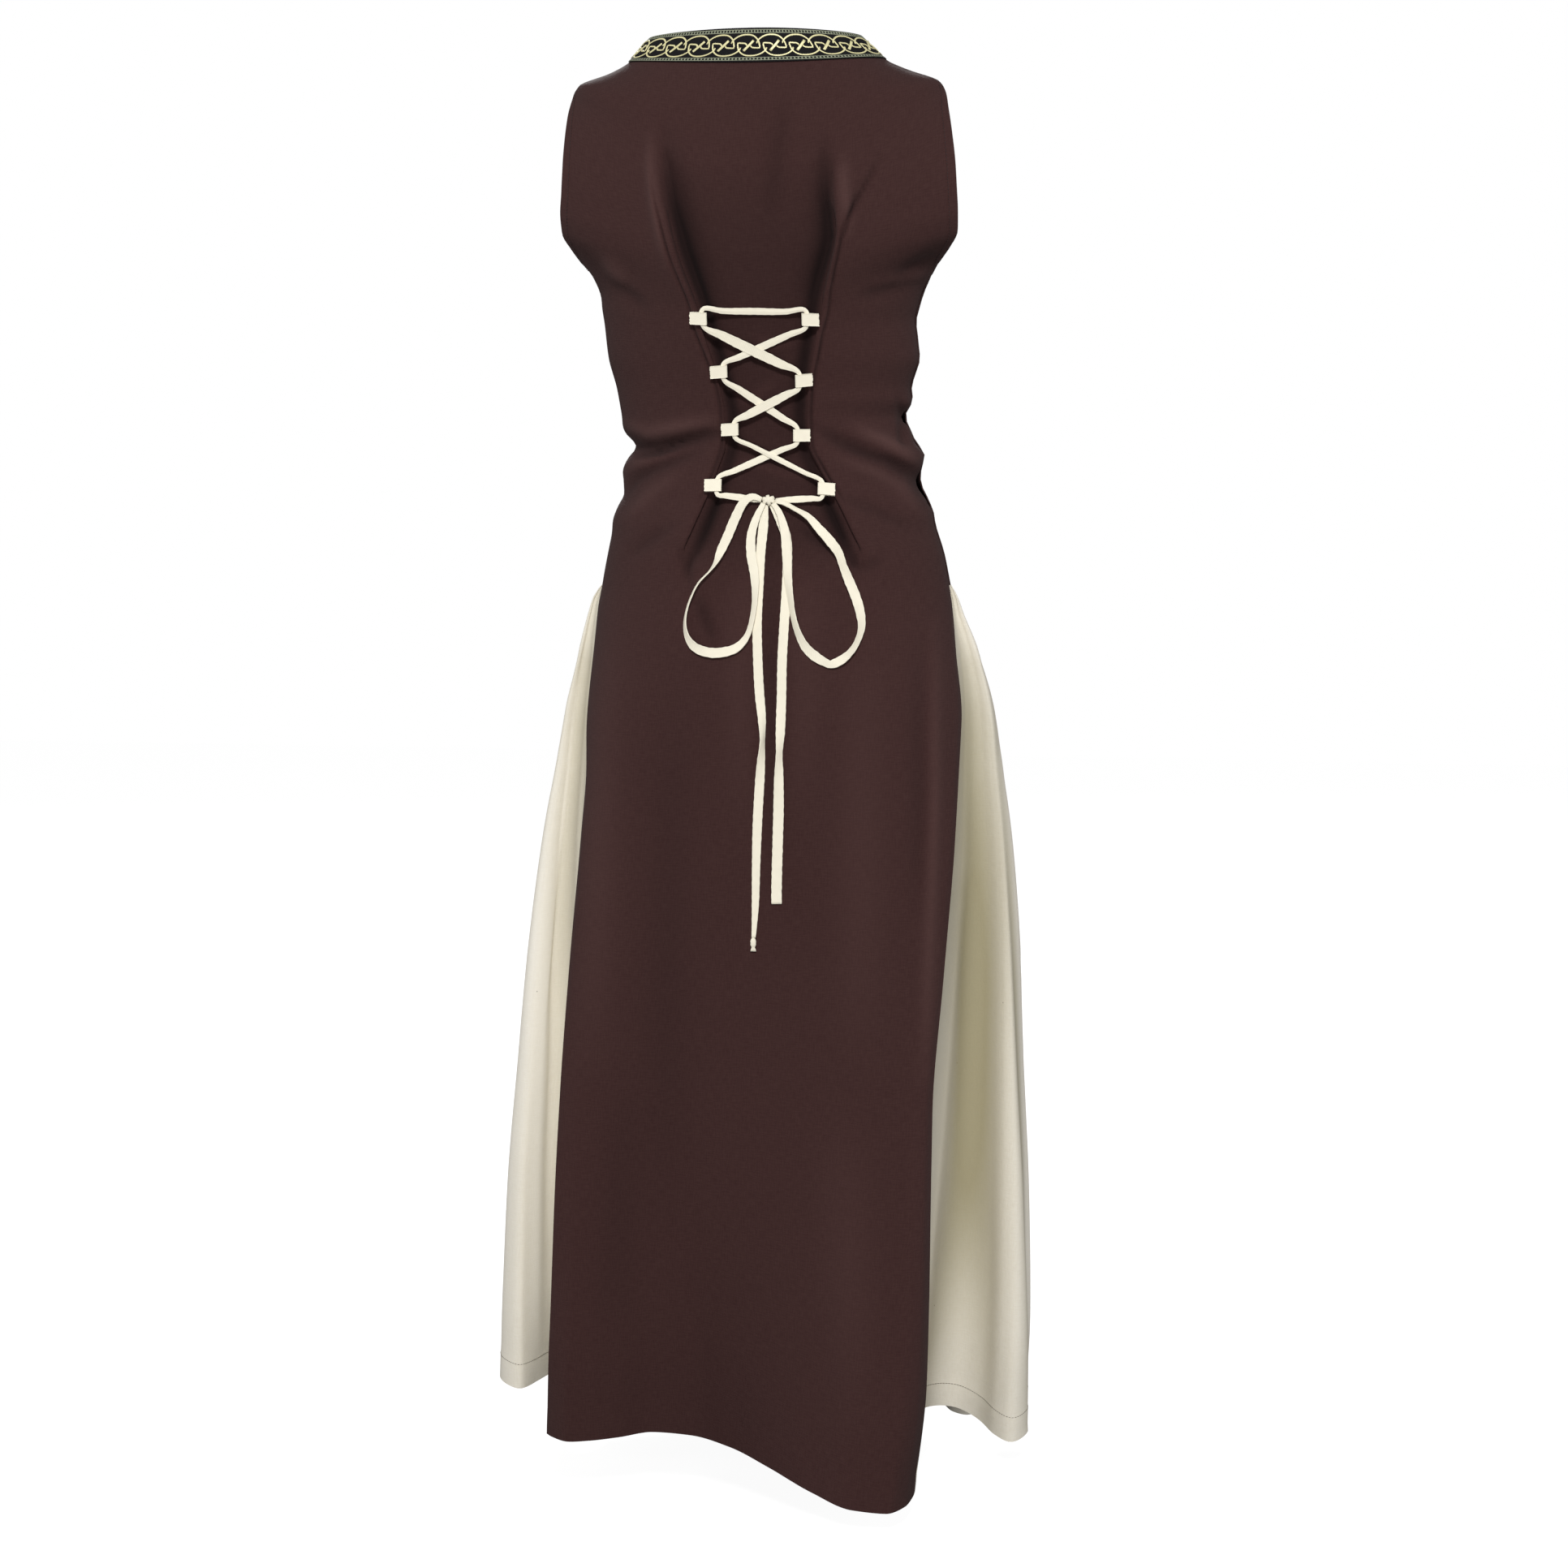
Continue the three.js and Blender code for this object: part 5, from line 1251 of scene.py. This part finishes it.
def material_named(name):
    """The gown's materials, each made when it is first asked for."""
    found = bpy.data.materials.get(name)
    if found is not None:
        return found
    cloth, tape, braid = settings().cloth, settings().tape, settings().braid
    if name == "brown woven cotton":
        return cloth_material(name, cloth.brown, cloth.brown_worn, cloth.brown_painted_shade, cloth.brown_painted_highlight, 1.1, 0.35)
    if name == "unbleached woven cotton":
        return cloth_material(name, cloth.cream_uneven, cloth.cream, cloth.cream_painted_shade, cloth.cream_painted_highlight, 1.2, 0.25,
                              flecks=linear("#5a4a36"), blotch=0.5)
    if name == "cotton lace tape":
        return tape_material(name, tape.colour)
    if name == "folded cotton tape":
        return tape_material(name, tuple(min(1, c * 1.03) for c in tape.colour), 1.5)
    if name == "black woven ribbon":
        return ribbon_material(name)
    if name == "pale gold metal thread":
        return thread_material(name, braid.gold, 0.42, 0.15)
    if name == "brown sewing thread":
        return thread_material(name, settings().thread.brown)
    if name == "cream sewing thread":
        return thread_material(name, settings().thread.cream)
    raise ValueError(f"no material is called {name}")


def dress(piece, material, replaces=()):
    """Gives a piece its material and its place on the gown."""
    piece.data.materials.clear()
    piece.data.materials.append(material_named(material))
    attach(piece, "root")
    if replaces:
        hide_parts(*replaces)
    return piece


# ---- braid ----

BRAID_RUNG = 3.2
BRAID_LADDER = 13.3
BRAID_PITCH = 24.5
BRAID_UNIT_AT = 29.0
BRAID_THICKNESS = 1.2
BRAID_SEAT = 1.05

# Section of a strand as two cords laid side by side: place across, height
STRAND_SECTION = ((-1.0, -0.5), (-0.92, 0.1), (-0.55, 0.42), (-0.1, 0.16), (0.1, 0.16), (0.55, 0.42),
                  (0.92, 0.1), (1.0, -0.5))

# One repeat of the knotwork in millimetres from its centre: along the braid, down it, and height over the ribbon
KNOT_BAR = ((-4.6, 5.1, 0.9), (0.0, 0.3, 1.1), (4.6, -4.6, 0.9))
KNOT_STRAND = (
    (-1.6, 0.2, 0.5), (-2.9, -1.7, 0.6), (-6.5, -2.2, 0.6), (-10.6, -2.1, 0.9), (-10.3, 0.5, 1.0),
    (-8.9, 4.9, 0.7), (-4.1, 9.0, 0.5), (3.0, 10.0, 0.5), (10.2, 8.5, 0.8), (15.9, 4.4, 0.9), (16.9, 1.9, 0.6),
)


class BraidBase:
    """The ring of the braid, which turns a run along it and a distance across it into a place."""

    def __init__(self, lift):
        self.points, self.normals = braid_ring(lift)
        middle = self.points[BRAID_ROWS // 2]
        steps = np.linalg.norm(np.roll(middle, -1, axis=0) - middle, axis=1)
        self.run = np.concatenate([[0], np.cumsum(steps)])
        self.length = self.run[-1]
        height = np.linalg.norm(np.diff(self.points, axis=0), axis=-1).sum(0)
        self.half = height / 2

    def place(self, along, down, lift):
        """Points at distances along the ring and down from its middle line, lifted from its surface."""
        along = np.mod(along, self.length)
        at = np.interp(along, self.run, np.arange(len(self.run)))
        low = np.floor(at).astype(int) % len(self.half)
        high = (low + 1) % len(self.half)
        part = (at - np.floor(at))[:, None]
        half = self.half[low] * (1 - part[:, 0]) + self.half[high] * part[:, 0]
        row = np.clip((down / half + 1) / 2, 0, 1) * (BRAID_ROWS - 1)
        first = np.clip(np.floor(row).astype(int), 0, BRAID_ROWS - 2)
        share = (row - first)[:, None]

        def at_columns(table):
            left = table[first, low] * (1 - share) + table[first + 1, low] * share
            right = table[first, high] * (1 - share) + table[first + 1, high] * share
            return left * (1 - part) + right * part

        out = unit(at_columns(self.normals))
        return at_columns(self.points) + out * np.asarray(lift)[..., None], out


def braid_ribbon():
    """The flat ribbon of the braid, a closed ring with a thin wall."""
    base = BraidBase(0)
    count = len(base.half) * 2
    along = np.linspace(0, base.length, count + 1)
    rows = []
    rim = 0.5 * BRAID_THICKNESS
    section = ((-1, 0.0), (-0.985, 0.8), (-0.9, 1.0), (-0.55, 1.0), (0, 1.0), (0.55, 1.0), (0.9, 1.0),
               (0.985, 0.8), (1, 0.0), (0.985, -0.8), (0.5, -1.0), (0, -1.0), (-0.5, -1.0), (-0.985, -0.8))
    half = np.interp(np.mod(along, base.length), base.run[:-1], base.half, period=base.length)
    for share, height in section:
        points, _ = base.place(along, share * half, np.full(len(along), 0.75 + 0.3 + rim + height * rim))
        rows.append(points)
    grid = np.stack(rows, 1)
    across = np.array([share for share, _ in section])
    uv = np.stack([along[:, None] + 0 * across[None, :], across[None, :] * half[:, None]], -1)
    uv[:, 9:, 1] = 0
    columns = len(section)
    piece = finish_mesh("neck_braid_ribbon", grid.reshape(-1, 3), grid_faces(count + 1, columns, closed=True),
                        uv.reshape(-1, 2))
    return piece, base


def knotwork(base):
    """The interlaced strands of the braid: one charted repeat and its turned copy, all round the ring."""
    count = round(base.length / BRAID_PITCH)
    pitch = base.length / count
    middle = base.points[BRAID_ROWS // 2][:BRAID_HALF_COLUMNS]
    start = base.run[int(np.argmin(np.abs(middle[:, 0] - BRAID_UNIT_AT)))]
    half = settings().braid.strand_width / MM / 2
    points, faces = [], []
    for k in range(count):
        for chart in (KNOT_STRAND, tuple((-a, -d, h) for a, d, h in KNOT_STRAND), KNOT_BAR):
            line = smooth_path(np.array(chart, float), 8 if chart is KNOT_BAR else 30)
            along = start + k * pitch + line[:, 0] * pitch / BRAID_PITCH
            direction = unit(np.gradient(line[:, :2], axis=0))
            wide = half * (1.6 if chart is KNOT_BAR else 1)
            rings = [
                base.place(
                    along - direction[:, 1] * wide * share, line[:, 1] + direction[:, 0] * wide * share,
                    BRAID_SEAT + BRAID_THICKNESS + (line[:, 2] + height) * 0.75)[0]
                for share, height in STRAND_SECTION
            ]
            block = np.stack(rings, 1)
            rows, columns = block.shape[:2]
            offset = len(points) and sum(len(part) for part in points)
            quads = grid_faces(rows, columns, closed=True) + offset
            faces += quads.tolist()
            faces += [tuple(range(offset, offset + columns)),
                      tuple(offset + rows * columns - 1 - i for i in range(columns))]
            points.append(block.reshape(-1, 3))
    return finish_mesh("neck_braid_knotwork", np.vstack(points), faces)


# ---- the knot of the lace ----


def knot_bundle():
    """The knot: a small bundle of tape, wrapped twice round its middle."""
    point, out = back_place(KNOT_X, KNOT_Z, KNOT_DEPTH_AT)
    across = unit(np.cross(out, np.array([0, 0, 1.0])))
    up = np.cross(across, out)
    if up[2] < 0:
        across, up = -across, -up
    runs = []
    for tilt, lift, wide, reach_out in ((0.25, 0.0, 3.9, 1.0), (-0.5, 0.3, 3.6, 0.96), (1.35, 0.7, 3.4, 0.82)):
        turn = np.linspace(0, 2 * np.pi, 25)[:-1]
        direction = across * math.cos(tilt) + up * math.sin(tilt)
        ring = (point + direction * (5.6 * reach_out * np.cos(turn))[:, None]
                + out * ((3.5 + lift * 0.4) * np.sin(turn))[:, None])
        side = np.cross(direction, out)
        radial = unit(direction * (np.cos(turn) / 5.6)[:, None] + out * (np.sin(turn) / 3.5)[:, None])
        runs.append((ring, radial, side, wide))
    points, faces = [], []
    for ring, radial, side, wide in runs:
        offset = sum(len(part) for part in points)
        section = ((-1, 0.0), (-0.9, 0.55), (-0.3, 0.75), (0.3, 0.75), (0.9, 0.55), (1, 0.0), (0, -0.9))
        block = np.stack([ring + side * wide * 0.5 * a + radial * b for a, b in section], 1)
        rows, columns = block.shape[:2]
        for r in range(rows):
            for c in range(columns):
                faces.append((offset + r * columns + c, offset + r * columns + (c + 1) % columns,
                              offset + (r + 1) % rows * columns + (c + 1) % columns,
                              offset + (r + 1) % rows * columns + c))
        points.append(block.reshape(-1, 3))
    return finish_mesh("lace_knot_wrapped", np.vstack(points), faces)


def tape_loop(name):
    """A loop of folded tape on a tuck edge. Both its layers end raw over the stitched strip."""
    centre, inwards, lean, up = loop_frame(name)
    half_length, half_height = LOOP_LENGTH / 2, LOOP_HEIGHT / 2
    half_depth = LOOP_MOUTH / 2 + LOOP_WALL
    random = np.random.default_rng(sum(ord(letter) for letter in name))
    turn = np.linspace(-np.pi / 2, np.pi / 2, 9)
    outer = [(-half_length, -half_depth + 0.15), (-half_length * 0.5, -half_depth), (0, -half_depth * 1.04),
             (half_length * 0.5, -half_depth)]
    outer += [(half_length - half_depth + half_depth * math.cos(t), half_depth * math.sin(t)) for t in turn]
    outer += [(half_length * 0.5, half_depth), (0, half_depth * 1.06), (-half_length * 0.5, half_depth),
              (-half_length, half_depth - 0.1)]
    rows = 15
    heights = np.linspace(-half_height, half_height, rows)
    slant = random.uniform(-0.09, 0.09)
    rings = []
    wall = LOOP_WALL
    for h in heights:
        share = h / half_height
        rim = 0.16 if abs(share) > 0.9 else 0.0
        ring = []
        jag = random.uniform(-0.55, 0.35)
        for index, (a, d) in enumerate(outer):
            if index in (0, len(outer) - 1):
                a += jag
            ring.append((a, d * (1 + rim * 0.6)))
        inner = [(max(a + wall * 0.6, -half_length + 0.2 + jag) if a < 0 else min(a, half_length - wall), d * 0.42)
                 for a, d in reversed(outer)]
        rings.append(ring + inner)
    depth_axis = np.cross(up, inwards)
    sign = 1 if depth_axis.dot(lean) > 0 else -1
    block = np.array([
        [centre + inwards * a + depth_axis * sign * d + up * (h + slant * a) for a, d in ring]
        for h, ring in zip(heights, rings)
    ])
    count, columns = block.shape[:2]
    faces = grid_faces(count, columns, closed=True).tolist()
    faces += [tuple(range(columns)), tuple(count * columns - 1 - i for i in range(columns))]
    run = np.concatenate([[0], np.cumsum(np.linalg.norm(np.diff(np.array(rings[0]), axis=0), axis=1))])
    uv = np.stack(np.broadcast_arrays(run[None, :], heights[:, None]), -1)
    return finish_mesh(f"lace_loop_{name}_tape", block.reshape(-1, 3), faces, uv.reshape(-1, 2))


def turn_outwards(piece):
    """Recalculates a closed mesh's normals so that they point outwards."""
    select_only(piece)
    bpy.ops.object.mode_set(mode="EDIT")
    bpy.ops.mesh.select_all(action="SELECT")
    bpy.ops.mesh.normals_make_consistent(inside=False)
    bpy.ops.object.mode_set(mode="OBJECT")
    return piece


# ---- the operators, one for each piece or group of like pieces ----


def run_cord(name, node, run):
    """A free run of the lace as a flat tape."""
    piece, path = tape_piece(name, run)
    turn_outwards(piece)
    dress(piece, "cotton lace tape", (node,))
    return piece


class GOWN_OT_stage(bpy.types.Operator):
    """Makes the studio: camera, pale floor, plain backdrop light and soft lamps."""

    bl_idname = "gown.stage"
    bl_label = "Studio"

    def execute(self, context):
        context.scene.view_settings.view_transform = "Standard"
        world = context.scene.world or bpy.data.worlds.new("Studio")
        context.scene.world = world
        world.use_nodes = True
        world.node_tree.nodes.clear()
        seen = add_node(world.node_tree, "ShaderNodeLightPath").outputs["Is Camera Ray"]
        strength = add_node(world.node_tree, "ShaderNodeMapRange", {
            "Value": seen, "To Min": STUDIO_AMBIENT, "To Max": STUDIO_BACKDROP})
        backdrop = add_node(world.node_tree, "ShaderNodeBackground", {
            "Color": (1.0, 1.0, 1.0, 1.0), "Strength": strength.outputs["Result"]})
        add_node(world.node_tree, "ShaderNodeOutputWorld", {"Surface": backdrop.outputs["Background"]})
        bpy.ops.object.select_all(action="DESELECT")
        bpy.ops.mesh.primitive_grid_add(x_subdivisions=8, y_subdivisions=8, size=14, location=(0, 0, FLOOR_AT * MM))
        floor = context.active_object
        floor.name = "studio_floor"
        bpy.ops.object.transform_apply(location=True, rotation=True, scale=True)
        material, tree, shader = new_material("matt white studio paper")
        place = add_node(tree, "ShaderNodeTexCoord").outputs["Object"]
        cloud = add_node(tree, "ShaderNodeTexNoise", {"Vector": place, "Scale": 300.0})
        tone = add_node(tree, "ShaderNodeMix", {
            "Factor": cloud.outputs["Fac"], "A": (0.13, 0.13, 0.13, 1), "B": (0.15, 0.15, 0.15, 1)},
            data_type="RGBA")
        tree.links.new(tone.outputs["Result"], shader.inputs["Base Color"])
        shader.inputs["Roughness"].default_value = 1.0
        shader.inputs["Specular IOR Level"].default_value = 0.0
        shader.inputs["Emission Color"].default_value = (1, 1, 1, 1)
        seen = add_node(tree, "ShaderNodeLightPath").outputs["Is Camera Ray"]
        glow = add_node(tree, "ShaderNodeMath", {0: seen, 1: FLOOR_GLOW}, operation="MULTIPLY")
        tree.links.new(glow.outputs["Value"], shader.inputs["Emission Strength"])
        floor.data.materials.append(material)
        for name, place, target, size, power in STUDIO_LAMPS:
            bpy.ops.object.light_add(type="AREA", location=place)
            lamp = context.active_object
            lamp.name = name
            lamp.data.shape = "DISK"
            lamp.data.size = size
            lamp.data.energy = power
            lamp.rotation_euler = (Vector(target) - Vector(place)).to_track_quat("-Z", "Y").to_euler()
        bpy.ops.object.camera_add(location=CAMERA_AT)
        camera = context.active_object
        camera.name = "studio_camera"
        heading = Vector(CAMERA_TARGET) - Vector(CAMERA_AT)
        camera.rotation_euler = heading.to_track_quat("-Z", "Y").to_euler()
        camera.data.lens = CAMERA_LENS
        camera.data.sensor_width = 36
        camera.data.clip_end = 60
        context.scene.camera = camera
        return {"FINISHED"}


class GOWN_OT_lace(bpy.types.Operator):
    """Makes the cotton lace: the laced part, its knot, both loops of the bow and both tails."""

    bl_idname = "gown.lace"
    bl_label = "Lace"

    def execute(self, context):
        knot = turn_outwards(knot_bundle())
        dress(knot, "folded cotton tape", ("lace_knot",))
        laced = laced_places()
        run_cord("lace_laced_tape", "lace_laced", laced)
        for name, run, far_end in (("bow_left", BOW_LEFT, "object"), ("bow_right", BOW_RIGHT, "object"),
                                   ("tail_left", TAIL_LEFT, "knot"), ("tail_right", TAIL_RIGHT, "bare")):
            places = run_places(run)
            extra = [end_knot()] if name == "tail_left" else []
            run_cord(f"lace_{name}_tape", f"lace_{name}", places)
        return {"FINISHED"}


def end_knot():
    """The tiny knot at the end of the left tail, with a frayed stub below it."""
    point, out = back_place(-10.8, -853, 2.6)
    points, faces = [], []
    table = ((5, 1.2, 0.7), (3.4, 2.3, 1.3), (1.6, 2.9, 1.7), (0, 2.6, 1.6), (-1.6, 2.9, 1.7), (-3.2, 2.1, 1.2),
             (-4.2, 1.6, 0.8), (-6, 2.4, 0.6), (-8, 2.9, 0.5))
    across = np.array([1.0, 0, 0])
    for z, wide, deep in table:
        ring = [point + across * wide * math.cos(a) + out * deep * math.sin(a) + np.array([0, 0, z])
                for a in np.linspace(0, 2 * np.pi, 12, endpoint=False)]
        points.append(ring)
    block = np.array(points)
    faces = grid_faces(len(table), 12, closed=True).tolist()
    faces += [tuple(range(12)), tuple(len(table) * 12 - 1 - i for i in range(12))]
    piece = turn_outwards(finish_mesh("lace_tail_left_knot", block.reshape(-1, 3), faces))
    return dress(piece, "folded cotton tape")


class GOWN_OT_loops(bpy.types.Operator):
    """Makes the eight tape loops that carry the lace."""

    bl_idname = "gown.loops"
    bl_label = "Lace loops"

    def execute(self, context):
        for name in LACE_LOOPS:
            piece = turn_outwards(tape_loop(name))
            select_only(piece)
            bpy.ops.object.shade_smooth_by_angle(angle=math.radians(40))
            dress(piece, "folded cotton tape", (f"lace_loop_{name}",))
        return {"FINISHED"}


class GOWN_OT_panels(bpy.types.Operator):
    """Makes the brown back panel with its tucks and the plain front panel."""

    bl_idname = "gown.panels"
    bl_label = "Brown panels"

    def execute(self, context):
        rows = row_positions(0, HEM, lambda height: np.where(height > -720, 3.6, 10.0))
        front_rows = row_positions(0, HEM, lambda height: 8.0 + 0 * height)
        for name, node, (grid, relief), flat, area in (
            ("back_panel_cloth", "back_panel", back_grid(rows), *FLAT_CUTS["back"]),
            ("front_panel_cloth", "front_panel", front_grid(front_rows), *FLAT_CUTS["front"]),
        ):
            CUT_GRIDS[node] = (grid, rows if node == "back_panel" else front_rows)
            weights = np.maximum(
                smoothstep(edge_run(grid, 0, True), 22, 18), smoothstep(edge_run(grid, 0, False), 8, 4))
            armhole = smoothstep(grid[..., 2], -236, -222)
            side = np.minimum(edge_run(grid, 1, True), edge_run(grid, 1, False))
            weights = np.maximum(weights, smoothstep(side, 12, 9) * armhole)
            piece = cloth_piece(name, grid, relief, weights, flip=node == "back_panel")
            dress(piece, "brown woven cotton", (node,))
        return {"FINISHED"}


CUT_GRIDS = {}


def flat_size(grid):
    """Width, length and area of a piece of cloth when it is laid flat, in metres."""
    across = np.linalg.norm(np.diff(grid, axis=1), axis=-1)
    down = np.linalg.norm(np.diff(grid, axis=0), axis=-1)
    cells = (across[1:] + across[:-1])[:, :] * (down[:, 1:] + down[:, :-1]) / 4
    return across.sum(1).max() * MM, down.sum(0).max() * MM, cells.sum() * MM * MM


class GOWN_OT_gores(bpy.types.Operator):
    """Makes the cream gores between the panels, which fall in folds."""

    bl_idname = "gown.gores"
    bl_label = "Cream gores"

    def execute(self, context):
        for outward, side in ((1, "left"), (-1, "right")):
            rows = row_positions(GORE_TOP, HEM, lambda height: 7.5 + 0 * height)
            grid, relief = gore_grid(rows, outward)
            CUT_GRIDS[f"gore_{side}"] = (grid, rows)
            weights = smoothstep(edge_run(grid, 0, True), 30, 25)
            piece = cloth_piece(f"gore_{side}_cloth", grid, relief, weights, flip=outward < 0)
            dress(piece, "unbleached woven cotton", (f"gore_{side}",))
        return {"FINISHED"}


def seam_line(node, distance, axis, from_end, first=0.0, last=HEM, outward=1):
    """A sewing line at a distance from an edge of a cut piece, with the directions away from the cloth."""
    grid, rows = CUT_GRIDS[node]
    line = inset_line(grid, distance, axis, from_end)
    normal = grid_normals(grid) * outward
    if axis == 1:
        index = [int(np.argmin(np.linalg.norm(row - point, axis=1))) for row, point in zip(grid, line)]
        outs = normal[np.arange(len(grid)), index]
        chosen = (rows >= first) & (rows <= last)
        return line[chosen], outs[chosen]
    index = [int(np.argmin(np.linalg.norm(grid[:, k] - line[k], axis=1))) for k in range(len(line))]
    return line, normal[index, np.arange(len(line))]


class GOWN_OT_stitching(bpy.types.Operator):
    """Sews the armholes and the hems of the gores."""

    bl_idname = "gown.stitching"
    bl_label = "Stitching"

    def execute(self, context):
        armholes = []
        for node, outward in (("back_panel", 1), ("front_panel", 1)):
            for from_end in (False, True):
                armholes.append(seam_line(node, 9.5, 1, from_end, 3.2, 12.6, outward))
        piece = stitches("armhole_stitching", armholes, gap=0.35, lift=0.95)
        dress(turn_outwards(piece), "brown sewing thread")
        hems = [seam_line(f"gore_{side}", 26, 0, True, outward=outward) for side, outward in (("left", 1), ("right", -1))]
        piece = stitches("gore_hem_stitching", hems, gap=0.2, lift=0.85)
        dress(turn_outwards(piece), "cream sewing thread")
        return {"FINISHED"}


class GOWN_OT_braid(bpy.types.Operator):
    """Makes the black braid round the neck with its interlaced pale gold strands."""

    bl_idname = "gown.braid"
    bl_label = "Neck braid"

    def execute(self, context):
        ribbon, base = braid_ribbon()
        select_only(ribbon)
        bpy.ops.object.shade_smooth_by_angle(angle=math.radians(50))
        dress(ribbon, "black woven ribbon", ("neck_braid",))
        strands = knotwork(base)
        dress(strands, "pale gold metal thread")
        return {"FINISHED"}


class GOWN_PT_parts(bpy.types.Panel):
    """Lists the steps of making the gown."""

    bl_idname = "GOWN_PT_parts"
    bl_label = "Gown"
    bl_space_type = "VIEW_3D"
    bl_region_type = "UI"
    bl_category = "Gown"

    def draw(self, context):
        for step in STEPS:
            self.layout.operator(step)
        for group in ("cloth", "tape", "braid", "thread"):
            for name in getattr(context.scene.gown, group).__annotations__:
                self.layout.prop(getattr(context.scene.gown, group), name)


STEPS = (
    "gown.stage", "gown.lace", "gown.loops", "gown.panels", "gown.gores", "gown.braid", "gown.stitching",
)
CLASSES = (
    GownCloth, GownTape, GownBraid, GownThread, GownSettings, GOWN_OT_stage, GOWN_OT_lace, GOWN_OT_loops,
    GOWN_OT_panels, GOWN_OT_gores, GOWN_OT_braid, GOWN_OT_stitching, GOWN_PT_parts,
)


def register():
    for made in CLASSES:
        bpy.utils.register_class(made)
    bpy.types.Scene.gown = PointerProperty(type=GownSettings)


def unregister():
    del bpy.types.Scene.gown
    for made in reversed(CLASSES):
        bpy.utils.unregister_class(made)


def main():
    register()
    bpy.ops.gown.stage()
    bpy.ops.gown.lace()
    bpy.ops.gown.loops()
    bpy.ops.gown.panels()
    bpy.ops.gown.gores()
    bpy.ops.gown.braid()
    bpy.ops.gown.stitching()


if __name__ == "__main__":
    main()
